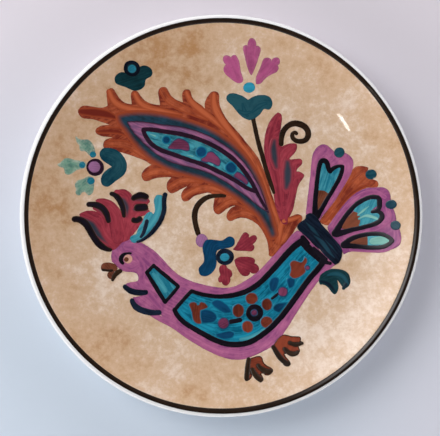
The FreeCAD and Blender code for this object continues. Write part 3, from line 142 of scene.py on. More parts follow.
class PaintColours(bpy.types.PropertyGroup):
    """Colours of the glazes and paints."""
    white: colour("White glaze", "Lip, back and foot recess", 240, 238, 236)
    clay: colour("Clay", "Bare biscuit clay of the foot", 226, 206, 182)
    ground: colour("Ground", "Tan face between its blotches", 218, 186, 155)
    ground_pale: colour("Pale ground", "Where the tan coat is thin", 240, 219, 201)
    ground_dark: colour("Dark ground", "Where the tan coat is thick", 186, 138, 92)
    line: colour("Line", "Banded line inside the lip", 32, 21, 14)
    violet: colour("Violet", "Bird, tail and plume band", 170, 92, 136)
    lilac: colour("Lilac", "Left flower's heart, hanging joint", 148, 100, 138)
    turquoise: colour("Turquoise", "Belly panel", 18, 122, 150)
    sky: colour("Sky", "Neck, crest feather, hearts of tail and plume", 58, 142, 158)
    mist: colour("Mist", "Watery petals of the left flower", 92, 138, 118)
    black: colour("Black", "Outlines, eye and crest strokes", 18, 14, 22)
    umber: colour("Umber", "Stems, tendril, claws and beak strokes", 42, 28, 18)
    night: colour("Night", "Tail binding, throat and feather strokes", 12, 20, 36)
    aubergine: colour("Aubergine", "Rib of the plume's heart, left ring", 42, 22, 38)
    rust: colour("Rust", "Plume and tail feather", 160, 70, 40)
    sienna: colour("Sienna", "Feet and blossoms", 122, 54, 38)
    brown: colour("Brown", "Beak and tail heart bases", 110, 60, 42)
    crimson: colour("Crimson", "Crest, leaf and hanging petals", 156, 55, 68)
    plum: colour("Plum", "Plume buds and belly dots", 112, 52, 80)
    magenta: colour("Magenta", "Top flower", 166, 74, 120)
    teal: colour("Teal", "Top and left cups, tail dots", 20, 70, 84)
    fir: colour("Fir", "Bud and tail spur", 16, 52, 58)
    tide: colour("Tide", "Outer band of the plume, sheen of the binding", 30, 60, 74)
    blue: colour("Blue", "Hanging cup, plume spots and belly leaves", 14, 64, 98)
    cyan: colour("Cyan", "Bright dots", 44, 136, 160)
    cream: colour("Cream", "White of the eye", 214, 160, 140)
    slate: colour("Slate", "Veins of the leaf and shade in the crest", 52, 59, 70)


class StageSizes(bpy.types.PropertyGroup):
    """Camera, floor and light."""
    camera_height: length("Camera height", "Above the surface the plate stands on", 618 * MM)
    camera_x: length("Camera x", "Sideways from the plate's centre", -0.5 * MM)
    camera_y: length("Camera y", "Upwards from the plate's centre", -1.0 * MM)
    lens: FloatProperty(name="Lens", description="Focal length in millimetres", default=98.77,
                        unit="CAMERA")
    # The two floor colours are painted light: a warm tint on the far side and a cool tint on the
    # near side.
    floor_warm_lit: colour("Warm floor", "Surface under the plate, far side", 233, 224, 230)
    floor_cool_lit: colour("Cool floor", "Surface under the plate, near side", 219, 230, 242)
    window: FloatProperty(name="Window", description="Brightness of the main soft light",
                          default=5.6, min=0)
    strip: FloatProperty(name="Strip", description="Power of the small lamp seen in the glaze",
                         default=0.09, min=0)
    fill: FloatProperty(name="Fill", description="Brightness of the room near the horizon",
                        default=2.75, min=0)


# ---------------------------------------------------------------- nodes written as sums

class Socket:
    """A node's output, with which sums and products are written."""

    def __init__(self, nodes, socket):
        self.nodes = nodes
        self.socket = socket

    def sum(self, operation, first, second=0.0):
        return self.nodes.add("ShaderNodeMath", {"operation": operation}, {0: first, 1: second})

    def __add__(self, other):
        return self.sum("ADD", self, other)

    def __sub__(self, other):
        return self.sum("SUBTRACT", self, other)

    def __rsub__(self, other):
        return self.sum("SUBTRACT", other, self)

    def __mul__(self, other):
        return self.sum("MULTIPLY", self, other)

    def __truediv__(self, other):
        return self.sum("DIVIDE", self, other)

    def __mod__(self, other):
        return self.sum("MODULO", self, other)

    def __abs__(self):
        return self.sum("ABSOLUTE", self)

    __radd__ = __add__
    __rmul__ = __mul__

    def at_least(self, other):
        return self.sum("MAXIMUM", self, other)

    def at_most(self, other):
        return self.sum("MINIMUM", self, other)

    def exceeds(self, other):
        return self.sum("GREATER_THAN", self, other)

    def rounded_down(self):
        return self.sum("FLOOR", self)

    def power(self, other):
        return self.sum("POWER", self, other)

    def cosine(self):
        return self.sum("COSINE", self)

    def output(self, name):
        """Another output of the same node."""
        return Socket(self.nodes, self.socket.node.outputs[name])


class Nodes:
    """A node tree that is written one node at a time."""

    def __init__(self, tree):
        self.tree = tree
        tree.nodes.clear()

    def add(self, kind, settings=None, values=None, output=0):
        """Makes a node: its settings first, then its inputs' values or links."""
        node = self.tree.nodes.new(kind)
        for name, setting in (settings or {}).items():
            setattr(node, name, setting)
        for place, value in (values or {}).items():
            if isinstance(value, Socket):
                self.tree.links.new(value.socket, node.inputs[place])
            else:
                node.inputs[place].default_value = value
        return Socket(self, node.outputs[output]) if node.outputs else node

    def vector(self, x=0.0, y=0.0, z=0.0):
        return self.add("ShaderNodeCombineXYZ", None, {0: x, 1: y, 2: z})

    def parts(self, vector):
        first = self.add("ShaderNodeSeparateXYZ", None, {0: vector})
        return first, first.output("Y"), first.output("Z")

    def noise(self, vector, scale, detail=2.0, roughness=0.5):
        """Soft noise about 0.5."""
        return self.add("ShaderNodeTexNoise", None, {"Vector": vector, "Scale": scale,
                                                     "Detail": detail, "Roughness": roughness})

    def ease(self, value, low, high, to_low=0.0, to_high=1.0):
        """Follows a value smoothly from one range to another, and stays within it."""
        return self.add("ShaderNodeMapRange", {"interpolation_type": "SMOOTHSTEP"},
                        {0: value, 1: low, 2: high, 3: to_low, 4: to_high})

    def blend(self, factor, low, high):
        """A colour between two others."""
        return self.add("ShaderNodeMix", {"data_type": "RGBA"}, {0: factor, 6: low, 7: high},
                        output=2)

    def mark(self, name):
        return self.add("ShaderNodeAttribute", {"attribute_name": name}, output="Fac")


def rgba(tint, shift=1.0):
    """A tint made darker or lighter, alike or each part by its own share."""
    shares = shift if isinstance(shift, tuple) else (shift,) * 3
    return tuple(min(1.0, c * share) for c, share in zip(tint, shares)) + (1.0,)


def start_material(name):
    """A new material, its nodes, and the place on the piece that they are asked about."""
    material = bpy.data.materials.new(name)
    material.use_nodes = True
    nodes = Nodes(material.node_tree)
    return material, nodes, nodes.add("ShaderNodeTexCoord", output="Object")


def end_material(nodes, values):
    """Ends a material in one shader with these values."""
    surface = nodes.add("ShaderNodeBsdfPrincipled", None, values)
    nodes.add("ShaderNodeOutputMaterial", None, {"Surface": surface})


def finish_surface(nodes, tone, height, roughness, bump, relief, gloss=GLOSS):
    """Ends a material in a surface of this colour, with relief in millimetres."""
    normal = nodes.add("ShaderNodeBump", None, {"Strength": bump, "Distance": relief * MM,
                                               "Height": height})
    end_material(nodes, {"Base Color": tone, "Roughness": roughness, "Normal": normal,
                         "IOR": GLASS_IOR, **gloss})


def reach_of(x, y):
    """Distance from the plate's axis."""
    return (x * x + y * y).power(0.5)


# ---------------------------------------------------------------- materials

def white_glaze():
    """Glossy white glaze, a little uneven, with a few iron specks."""
    tints = bpy.context.scene.paint_colours
    material, nodes, place = start_material("white_glaze")
    cloud = nodes.noise(place, 45.0, 3.0)
    speck = nodes.ease(nodes.noise(place, 900.0, 1.0), 0.76, 0.82)
    tone = nodes.blend(cloud, rgba(tints.white, 0.93), rgba(tints.white, 1.02))
    tone = nodes.blend(speck * 0.35, tone, rgba(tints.ground_dark))
    ripple = nodes.noise(place, 160.0, 2.0)
    finish_surface(nodes, tone, ripple, 0.22, 0.25, 0.08)
    return material


def bare_clay():
    """Biscuit clay where the foot was wiped clean, with fine grog and turning marks."""
    tints = bpy.context.scene.paint_colours
    material, nodes, place = start_material("bare_clay")
    x, y, height = nodes.parts(place)
    rings = nodes.noise(nodes.vector(reach_of(x, y) * 2400.0, height * 900.0), 1.0, 2.0)
    grog = nodes.noise(place, 2600.0, 2.0)
    tone = nodes.blend(nodes.ease(grog, 0.35, 0.7), rgba(tints.clay, 0.78), rgba(tints.clay))
    finish_surface(nodes, tone, rings + grog * 0.6, 0.85, 0.5, 0.12, gloss={})
    return material


# Broad patches of the ground, the darker ones mostly to the left; the two lighter ones to the right
# and lower right are painted glare.
BLOTCHES_AND_GLARE = (     # of the ground: where, how wide, in millimetres, and how much darker
    (-24, 80, 42, 0.34), (-90, 8, 46, 0.20), (-62, -66, 42, 0.16), (-62, 62, 34, 0.16),
    (46, 76, 36, 0.12), (-4, -84, 30, 0.10), (58, -66, 60, -0.20), (88, -10, 40, -0.08),
    (12, -20, 60, 0.07))


def tan_ground():
    """Sponged tan coat: fine speckle and soft blotches, darker in a few broad patches, and paler to
    the right and lower right as painted glare of the window.
    """
    tints = bpy.context.scene.paint_colours
    material, nodes, place = start_material("tan_ground")
    wide = nodes.noise(place, 24.0, 4.0, 0.62)
    patchy = nodes.noise(place, 95.0, 5.0, 0.7)
    sponge = nodes.noise(place, 380.0, 4.0, 0.72)
    dust = nodes.noise(place, 1300.0, 2.0, 0.6)
    laid = (wide - 0.5) * 0.5 + (patchy - 0.5) * 0.95 + (sponge - 0.5) * 0.5 + 0.32
    for x, y, reach, more in BLOTCHES_AND_GLARE:
        off = nodes.add("ShaderNodeVectorMath", {"operation": "DISTANCE"},
                        {0: place, 1: (x * MM, y * MM, 10 * MM)}, output="Value")
        laid = laid + nodes.ease(off, 0.0, reach * MM, more, 0.0)
    x, y, _ = nodes.parts(place)
    outer = nodes.ease(reach_of(x, y), 58 * MM, 92 * MM)
    laid = laid + outer * 0.03
    tone = nodes.blend(nodes.ease(laid, 0.0, 0.42), rgba(tints.ground_pale), rgba(tints.ground))
    tone = nodes.blend(nodes.ease(laid, 0.34, 0.92), tone, rgba(tints.ground_dark))
    tone = nodes.blend(nodes.ease(dust, 0.58, 0.80) * 0.35, tone, rgba(tints.ground_dark, 0.85))
    tone = nodes.blend(nodes.ease(sponge, 0.60, 0.80) * 0.40, tone, rgba(tints.ground_pale, 1.08))
    # Darker towards the rim, a little more at the upper left than at the lower right, where the
    # paler tone is painted glare.
    tone = nodes.blend(outer * nodes.ease(x - y * 0.3, -60 * MM, 70 * MM, 0.14, 0.10), tone,
                       rgba(tints.ground_dark, (1.15, 1.05, 0.9)))
    ripple = nodes.noise(place, 120.0, 2.0) + sponge * 0.2
    finish_surface(nodes, tone, ripple, 0.28, 0.3, 0.06)
    return material


def enamel(name, tint, dark=0.6, light=1.4, streak=1.0, touch=0.55, wash_share=0.8, second=None,
           soft=None, soft_width=1.2, thin=0.0, edge_dark=0.75):
    """Brushed ceramic paint.

    Streaks follow the brush, each touch has its own tone, and paint gathers at its edge.
    Touches with a tone below 0.2 take the second colour. Soft paint fades over soft_width
    millimetres into the wet colour beside it, and thin paint lets the tan ground through.
    """
    tints = bpy.context.scene.paint_colours
    material, nodes, place = start_material(name)
    along, across, edge, tone = (nodes.mark(mark) for mark in MARKS)
    brush = nodes.vector(*(mark * share for mark, share in zip((along, across, tone), STREAKS)))
    hairs = nodes.noise(brush, 1.0, 3.0, 0.6)
    wash = nodes.noise(place, 150.0, 4.0, 0.62)
    load = (hairs - 0.5) * streak + (wash - 0.5) * wash_share + (tone - 0.5) * touch + 0.5
    shade = nodes.ease(load, 0.15, 0.85)
    own = getattr(tints, tint)
    body = nodes.blend(shade, rgba(own, dark), rgba(own, light))
    if second:
        other = getattr(tints, second)
        body = nodes.blend(nodes.ease(tone, 0.19, 0.21), rgba(other), body)
    gathered = nodes.ease(edge, 0.0, 0.5 * MM, 1.0, 0.0)
    body = nodes.blend(gathered * 0.22, body, rgba(own, edge_dark * 0.6))
    if thin:
        bare = nodes.ease(wash * 0.5 + nodes.noise(place, 900.0, 2.0) * 0.5, 0.40, 0.66)
        faded = nodes.ease(edge, 0.0, 1.6 * MM, 1.0, 0.35)
        body = nodes.blend((bare * faded + faded * 0.3) * thin, body, rgba(tints.ground_pale))
    if soft:
        fade = nodes.ease(edge + (hairs - 0.5) * 0.5 * MM, 0.1 * MM, soft_width * MM, 1.0, 0.0)
        body = nodes.blend(fade, body, rgba(getattr(tints, soft)))
    finish_surface(nodes, body, hairs + wash * 0.4, 0.32, 0.2, 0.07)
    return material


ENAMELS = {     # finish: its tint, and how it differs from plain enamel
    "line": ("line", dict(dark=0.8, light=1.6, streak=0.8)),
    "violet": ("violet", dict(dark=(0.62, 0.55, 0.74), light=(1.3, 1.45, 1.2), streak=0.9,
                              wash_share=1.5)),
    "violet_wet": ("violet", dict(dark=(0.42, 0.75, 0.7), light=(1.05, 1.35, 1.1), streak=1.6,
                                  soft="aubergine", soft_width=1.5)),
    "lilac": ("lilac", dict(dark=0.7, light=1.4)),
    "turquoise": ("turquoise", dict(dark=(0.4, 0.5, 0.55), light=(2.6, 1.5, 1.4), streak=1.6,
                                    wash_share=1.6)),
    "sky": ("sky", dict(dark=(0.25, 0.6, 0.7), light=(1.9, 1.35, 1.25), streak=1.5, touch=1.4)),
    "pool": ("sky", dict(dark=(0.3, 0.4, 0.45), light=(1.5, 1.15, 1.05), streak=1.4,
                         wash_share=2.0)),
    "mist": ("mist", dict(dark=(0.4, 0.65, 0.75), light=1.35, wash_share=1.8, thin=0.4,
                          edge_dark=0.9)),
    "foam": ("mist", dict(dark=(1.5, 1.6, 1.8), light=(2.3, 2.1, 2.6), soft="sky",
                          soft_width=0.6)),
    "black": ("black", dict(dark=0.6, light=1.8)),
    "crest_black": ("black", dict(dark=0.8, light=2.0, soft="umber", soft_width=1.1)),
    "eye": ("black", dict(second="brown")),
    "umber": ("umber", dict(dark=0.6, light=1.6)),
    "night": ("night", dict(dark=0.5, light=(3.2, 3.0, 2.4), streak=1.4)),
    "aubergine": ("aubergine", dict(dark=0.7, light=1.4)),
    "rust": ("rust", dict(dark=(0.5, 0.36, 0.6), light=(1.55, 2.05, 2.3), streak=1.0, touch=1.5,
                          wash_share=1.4)),
    "sienna": ("sienna", dict(dark=0.6, light=(1.5, 1.5, 1.3), soft="umber", soft_width=0.9)),
    "blossom": ("sienna", dict(dark=0.45, light=1.2, soft="turquoise", soft_width=0.8)),
    "brown": ("brown", dict(dark=0.55, light=1.5)),
    "crimson": ("crimson", dict(dark=(0.6, 0.5, 0.6), light=(1.3, 1.5, 1.4), streak=1.3,
                                wash_share=1.2)),
    "plum": ("plum", dict(dark=0.55, light=1.5, soft="blue", soft_width=0.9)),
    "magenta": ("magenta", dict(dark=0.75, light=1.3, thin=0.1)),
    "teal": ("teal", dict(dark=(0.4, 0.6, 0.7), light=(3.0, 1.5, 1.3), wash_share=1.3)),
    "teal_wet": ("tide", dict(dark=(0.9, 0.6, 0.55), light=(1.5, 1.3, 1.4), wash_share=1.4,
                              soft="rust", soft_width=3.4)),
    "fir": ("fir", dict(dark=0.5, light=(1.8, 1.6, 1.6))),
    "dusk": ("night", dict(dark=0.8, light=1.6, soft="fir", soft_width=1.0)),
    "blue": ("blue", dict(dark=0.55, light=1.4)),
    "blue_wet": ("blue", dict(dark=0.6, light=1.25, soft="turquoise", soft_width=1.0)),
    "cyan": ("cyan", dict(dark=0.6, light=1.35, wash_share=1.4)),
    "cream": ("cream", dict(dark=0.85, light=1.15)),
    "slate": ("slate", dict(dark=0.8, light=1.2, soft="crimson", soft_width=2.2)),
    # The next finish is a painted sheen on the dark binding, in the tide tint.
    "steel": ("tide", dict(dark=0.8, light=1.3, soft="night", soft_width=0.9)),
}
for kind in ("rust", "violet", "crimson", "turquoise", "sky", "teal"):     # blended strokes
    tint, how = ENAMELS[kind]
    ENAMELS[kind + "_soft"] = (tint, dict(how, soft=tint, soft_width=1.3))


GLAZES = {"white_glaze": white_glaze, "bare_clay": bare_clay, "tan_ground": tan_ground}


class Palette(dict):
    """Each glaze and enamel is mixed once, when it is first asked for."""

    def __missing__(self, name):
        if name in GLAZES:
            self[name] = GLAZES[name]()
        else:
            tint, changes = ENAMELS[name]
            self[name] = enamel(name, tint, **changes)
        return self[name]


palette = Palette()


# ---------------------------------------------------------------- the plate's form

class Form:
    """The plate's section in numbers: parallel arcs about one centre, and a round lip."""

    def __init__(self):
        sizes = bpy.context.scene.plate_sizes
        self.well = sizes.well_radius
        self.coat = sizes.glaze_coat
        self.ground = sizes.ground_coat
        self.half_wall = sizes.clay_wall / 2
        self.floor = boxes["tan_ground"][0].z - self.coat
        self.underside = self.floor - 2 * self.half_wall
        self.bevel = boxes["white_glaze"][0].z
        self.foot_inner = boxes["recess_glaze"][1].x
        self.foot_outer = self.foot_inner + sizes.foot_width
        self.rim = boxes["white_glaze"][1].x
        self.face = sizes.wall_arc
        self.back = self.face + sizes.clay_wall
        self.centre = (self.well, self.floor + self.face)
        reach, middle = self.rim - self.coat - self.half_wall, self.face + self.half_wall
        self.lean = math.asin((reach - self.well) / middle)
        self.lip = (reach, self.centre[1] - middle * math.cos(self.lean))

    def height(self, arc, reach):
        """Height of an arc about the common centre, flat inside the well."""
        out = np.maximum(np.asarray(reach, float) - self.well, 0.0)
        return self.centre[1] - np.sqrt(arc ** 2 - out ** 2)

    def flat(self, height, outwards=True):
        """Points from the axis to the edge of the well at one height, or back."""
        ends = (0, self.well) if outwards else (self.well, 0)
        return [(reach, height) for reach in np.linspace(*ends, FLAT_STEPS)]

    def arc(self, radius, start, end, steps):
        """Points of an arc about the common centre from one reach to another."""
        angles = [math.asin(max(-1, min(1, (reach - self.well) / radius)))
                  for reach in (start, end)]
        return [(self.well + radius * math.sin(a), self.centre[1] - radius * math.cos(a))
                for a in np.linspace(angles[0], angles[1], steps)]

    def round_lip(self, radius, steps):
        """Points round the lip, from the face over to the back."""
        turns = np.linspace(math.pi / 2, -math.pi / 2, steps)
        return [(self.lip[0] + radius * math.cos(self.lean + a),
                 self.lip[1] + radius * math.sin(self.lean + a)) for a in turns]

    def lip_ends(self, radius):
        """How far out the round of the lip meets the face and the back."""
        return [reach for reach, _ in self.round_lip(radius, 2)]

    def warped(self, x, y):
        """How far firing has lifted the wall here: nothing within the foot ring."""
        sizes = bpy.context.scene.plate_sizes
        reach, turn = np.hypot(x, y), np.arctan2(y, x)
        out = np.maximum(reach - self.foot_outer, 0.0) / (self.rim - self.foot_outer)
        two, three = WARP_STARTS
        return sizes.warp * out ** 2 * (np.cos(2 * turn + two) + 0.5 * np.cos(3 * turn + three))

    def ground_top(self, x, y):
        """Height of the painted face."""
        arc = self.face - self.coat - self.ground
        return self.height(arc, np.hypot(x, y)) + self.warped(x, y)


def start_tree(name, takes, gives):
    """A geometry node tree with its inputs, each by name and kind, and one output."""
    tree = bpy.data.node_groups.new(name, "GeometryNodeTree")
    for label, kind in takes.items():
        tree.interface.new_socket(label, in_out="INPUT", socket_type="NodeSocket" + kind)
    tree.interface.new_socket(gives, in_out="OUTPUT", socket_type="NodeSocketGeometry")
    return tree, Nodes(tree)


def end_tree(nodes, made, material):
    """Ends a tree in real geometry of one material."""
    real = nodes.add("GeometryNodeRealizeInstances", None, {0: made})
    coated = nodes.add("GeometryNodeSetMaterial", None, {"Geometry": real, "Material": material})
    nodes.add("NodeGroupOutput", None, {0: coated})


def turned_tree():
    """Geometry nodes that turn a closed section about Z, as a lathe does."""
    tree, nodes = start_tree("Turned coat", {
        "Section": "Geometry", "Segments": "Int", "Warp": "Float", "Warp Start": "Float",
        "Warp End": "Float", "Material": "Material"}, "Plate")
    section = nodes.add("NodeGroupInput", output="Section")
    segments, warp = section.output("Segments"), section.output("Warp")
    rows = nodes.add("GeometryNodeAttributeDomainSize", None, {0: section})
    grid = nodes.add("GeometryNodeMeshGrid", None,
                     {"Vertices X": segments + 1, "Vertices Y": rows})
    number = nodes.add("GeometryNodeInputIndex")
    turn = (number / rows + 1e-4).rounded_down() / segments * (2 * math.pi)
    point = nodes.add("GeometryNodeSampleIndex", {"data_type": "FLOAT_VECTOR"},
                      {0: section, 1: nodes.add("GeometryNodeInputPosition"), 2: number % rows})
    reach, _, _ = nodes.parts(point)
    start = section.output("Warp Start")
    out = (reach - start).at_least(0.0) / (section.output("Warp End") - start)
    two, three = WARP_STARTS
    lift = warp * out * out * ((turn * 2 + two).cosine() + (turn * 3 + three).cosine() * 0.5)
    spun = nodes.add("ShaderNodeVectorRotate", {"rotation_type": "Z_AXIS"},
                     {"Vector": point, "Angle": turn})
    lifted = nodes.add("ShaderNodeVectorMath", {"operation": "ADD"},
                       {0: spun, 1: nodes.vector(0.0, 0.0, lift)})
    wall = nodes.add("GeometryNodeSetPosition", None, {"Geometry": grid, "Position": lifted})
    closed = nodes.add("GeometryNodeMergeByDistance", None, {0: wall, 2: SEAM})
    smooth = nodes.add("GeometryNodeSetShadeSmooth", None, {0: closed, 2: True})
    corner = nodes.add("GeometryNodeInputMeshEdgeAngle").exceeds(CORNER)
    crisp = nodes.add("GeometryNodeSetShadeSmooth", {"domain": "EDGE"},
                      {0: smooth, 1: corner, 2: False})
    end_tree(nodes, crisp, section.output("Material"))
    return tree


def grown(name, mesh, tree, inputs):
    """Runs a node tree on a mesh and returns the plain mesh that it makes."""
    host = bpy.data.objects.new(name, mesh)
    bpy.context.scene.collection.objects.link(host)
    modifier = host.modifiers.new(tree.name, "NODES")
    modifier.node_group = tree
    sockets = {s.name: s.identifier for s in tree.interface.items_tree
               if s.item_type == "SOCKET" and s.in_out == "INPUT"}
    for label, value in inputs.items():
        modifier[sockets[label]] = value
    host.update_tag()
    ready = bpy.context.evaluated_depsgraph_get()
    made = bpy.data.meshes.new_from_object(host.evaluated_get(ready))
    made.name = name
    bpy.data.objects.remove(host)
    return made


def piece(name, mesh, node):
    """Puts a finished mesh in the scene in place of its CAD node."""
    thing = bpy.data.objects.new(name, mesh)
    bpy.context.scene.collection.objects.link(thing)
    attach(thing, "root")
    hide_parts(node)
    return thing


def outward(mesh):
    """Turns a closed mesh right side out."""
    corners = np.array([[mesh.vertices[v].co[:] for v in face.vertices[:3]]
                        for face in mesh.polygons[:]], float)
    volume = np.einsum("ij,ij->i", corners[:, 0], np.cross(corners[:, 1], corners[:, 2])).sum()
    if volume < 0:
        mesh.flip_normals()


def turned(name, section, node, finish):
    """A coat of the plate, turned from the points of its closed section."""
    sizes = bpy.context.scene.plate_sizes
    form = Form()
    outline = bpy.data.meshes.new(name + "_section")
    points = [(reach, 0.0, height) for reach, height in section + section[:1]]
    outline.from_pydata(points, [(n, n + 1) for n in range(len(section))], [])
    tree = bpy.data.node_groups.get("Turned coat") or turned_tree()
    mesh = grown(name, outline, tree, {
        "Segments": sizes.segments, "Warp": sizes.warp, "Warp Start": form.foot_outer,
        "Warp End": form.rim, "Material": palette[finish]})
    outward(mesh)
    return piece(name, mesh, node)


# ---------------------------------------------------------------- touches of paint

class Touches:
    """Gathers the touches of one piece, each with its finish, into a single mesh."""

    def __init__(self):
        self.points = []
        self.faces = []
        self.marks = []
        self.finishes = []
        self.kinds = []
        self.count = 0

    def add(self, points, faces, marks, finish):
        """Adds a touch's points, its faces, its points' marks and its finish."""
        if finish not in self.finishes:
            self.finishes.append(finish)
        self.points.append(points)
        self.faces += [tuple(self.count + corner for corner in face) for face in faces]
        self.marks.append(marks)
        self.kinds += [self.finishes.index(finish)] * len(faces)
        self.count += len(points)

    def take(self, mesh, finish):
        """Adds a finished mesh that carries the same marks."""
        points = np.empty(len(mesh.vertices) * 3)
        mesh.vertices.foreach_get("co", points)
        marks = np.zeros((len(mesh.vertices), len(MARKS)))
        for column, name in enumerate(MARKS):
            values = np.zeros(len(mesh.vertices), np.float32)
            mesh.attributes[name].data.foreach_get("value", values)
            marks[:, column] = values
        faces = [tuple(face.vertices) for face in mesh.polygons]
        self.add(points.reshape(-1, 3), faces, marks, finish)

    def mesh(self, name):
        """One mesh of all the touches, with a material for each finish."""
        made = bpy.data.meshes.new(name)
        made.from_pydata(np.vstack(self.points).tolist(), [], self.faces)
        store_marks(made, dict(zip(MARKS, np.vstack(self.marks).T)))
        made.polygons.foreach_set("use_smooth", [True] * len(made.polygons))
        for finish in self.finishes:
            made.materials.append(palette[finish])
        made.polygons.foreach_set("material_index", self.kinds)
        return made


def store_marks(mesh, marks):
    """Stores a number for each point of a mesh under each mark's name."""
    for name, values in marks.items():
        kept = mesh.attributes.new(name, "FLOAT", "POINT").data
        kept.foreach_set("value", np.ascontiguousarray(values, np.float32))


def steps_of(line):
    """The length of each step of a line of points, and how far along it each point lies."""
    steps = np.hypot(*np.diff(line, axis=0).T)
    return steps, np.concatenate([[0.0], np.cumsum(steps)])


def smooth_line(points, spacing):
    """A natural cubic through the given points, and how far along it each one lies."""
    knots = np.array(points, float)
    steps, place = steps_of(knots)
    count = len(knots)
    system, pull = np.eye(count), np.zeros((count, 2))
    for n in range(1, count - 1):
        system[n, n - 1:n + 2] = steps[n - 1] / 6, (steps[n - 1] + steps[n]) / 3, steps[n] / 6
        pull[n] = ((knots[n + 1] - knots[n]) / steps[n]
                   - (knots[n] - knots[n - 1]) / steps[n - 1])
    bend = np.linalg.solve(system, pull)
    samples = np.linspace(0.0, place[-1], max(3, int(place[-1] / spacing) + 1))
    span = np.clip(np.searchsorted(place, samples, side="right") - 1, 0, count - 2)
    width = steps[span][:, None]
    after = ((samples - place[span]) / steps[span])[:, None]
    before = 1 - after
    line = (before * knots[span] + after * knots[span + 1]
            + ((before ** 3 - before) * bend[span] + (after ** 3 - after) * bend[span + 1])
            * width ** 2 / 6)
    return line, samples / place[-1]


def brush_tree():
    """Geometry nodes that lay brush strokes along paths on a surface."""
    tree, nodes = start_tree("Brush strokes", {
        "Paths": "Geometry", "Surface": "Object", "Coat": "Float", "Lift": "Float",
        "Sink": "Float", "Material": "Material"}, "Strokes")

    def stored(name):
        return nodes.add("GeometryNodeInputNamedAttribute", None, {"Name": name})

    def store(shape, name, value):
        return nodes.add("GeometryNodeStoreNamedAttribute", None,
                         {"Geometry": shape, "Name": name, "Value": value})

    paths = nodes.add("NodeGroupInput", output="Paths")
    width = stored("half_width")
    curve = nodes.add("GeometryNodeMeshToCurve", None, {0: paths})
    curve = nodes.add("GeometryNodeSetCurveNormal", {"mode": "Z_UP"}, {0: curve})
    curve = store(curve, "along", nodes.add("GeometryNodeSplineParameter", output="Length"))
    ring = nodes.add("GeometryNodeCurvePrimitiveCircle", None, {"Resolution": 16, "Radius": 1.0})
    side, down, _ = nodes.parts(nodes.add("GeometryNodeInputPosition"))
    ring = store(store(ring, "side", side), "down", down)
    tube = nodes.add("GeometryNodeCurveToMesh", None, {
        "Curve": curve, "Profile Curve": ring, "Scale": width, "Fill Caps": True})
    side, rise = stored("side"), stored("down") * -1.0
    x, y, _ = nodes.parts(nodes.add("GeometryNodeInputPosition"))
    surface = nodes.add("GeometryNodeObjectInfo", None, {0: paths.output("Surface")},
                        output="Geometry")
    above = nodes.vector(x, y, ABOVE_ALL)
    hit = nodes.add("GeometryNodeRaycast", None, {
        "Target Geometry": surface, "Source Position": above,
        "Ray Direction": (0.0, 0.0, -1.0), "Ray Length": 1.0}, output="Hit Position")
    fullness = (width / FULL_STROKE).at_most(1.0)
    top = rise.exceeds(-0.01)
    height = (top * (paths.output("Lift") + rise * fullness * paths.output("Coat"))
              - (1.0 - top) * paths.output("Sink"))
    _, _, level = nodes.parts(hit)
    laid = nodes.add("GeometryNodeSetPosition", None,
                     {"Geometry": tube, "Position": nodes.vector(x, y, level + height)})
    marked = store(laid, "across", side * width)
    marked = store(marked, "edge", (1.0 - abs(side)) * width)
    smooth = nodes.add("GeometryNodeSetShadeSmooth", None, {0: marked, 2: True})
    end_tree(nodes, smooth, paths.output("Material"))
    return tree


def own_tone(number):
    """A tone from 0.25 to 1 for a touch by its number, spread by the golden ratio."""
    return 0.25 + (number * 0.618 + 0.3) % 1.0 * 0.75


def stroke_paths(name, strokes):
    """A mesh of lines with their half widths, rounded off at both ends, for the brush tree."""
    points, edges, halves, tones = [], [], [], []
    for number, (spine, widths, *tone) in enumerate(strokes):
        widths = widths if isinstance(widths, list) else [widths, widths]
        line, way = smooth_line(np.array(spine) * DRAWING_UNIT, STROKE_STEP)
        half = np.interp(way, np.linspace(0, 1, len(widths)), widths) * DRAWING_UNIT / 2
        for _ in range(2):      # a round end is laid beyond the last point, once for each end
            heading = (line[-1] - line[-2]) / np.linalg.norm(line[-1] - line[-2])
            tip = line[-1] + ROUND_END[:, None] * half[-1] * heading
            half = np.concatenate([half, half[-1] * np.sqrt(1 - ROUND_END ** 2)])[::-1]
            line = np.vstack([line, tip])[::-1]
        first = len(points)
        points += [(x, y, 0.0) for x, y in line]
        edges += [(first + n, first + n + 1) for n in range(len(line) - 1)]
        halves += list(half)
        tones += [tone[0] if tone else own_tone(number)] * len(line)
    return line_mesh(name, points, edges, halves, tones)


def line_mesh(name, points, edges, halves, tones):
    """A mesh of lines that carry their half widths and tones."""
    mesh = bpy.data.meshes.new(name)
    mesh.from_pydata(points, edges, [])
    store_marks(mesh, {"half_width": halves, "tone": tones})
    return mesh


def brushed(name, paths, surface, finish, lift, coat):
    """Strokes along paths, laid on a surface."""
    tree = bpy.data.node_groups.get("Brush strokes") or brush_tree()
    sizes = bpy.context.scene.paint_sizes
    return grown(name, paths, tree, {"Surface": surface, "Coat": coat, "Lift": lift,
                                     "Sink": sizes.sink, "Material": palette[finish]})


def rightmost(spots, loop, ways):
    """Which way on keeps most to the right, where outlines touch at a corner."""
    if len(ways) == 1 or len(loop) < 2:
        return 0
    came = spots[loop[-1]] - spots[loop[-2]]
    goes = spots[ways] - spots[loop[-1]]
    turns = np.arctan2(came[0] * goes[:, 1] - came[1] * goes[:, 0], goes @ came)
    return int(turns.argmin())


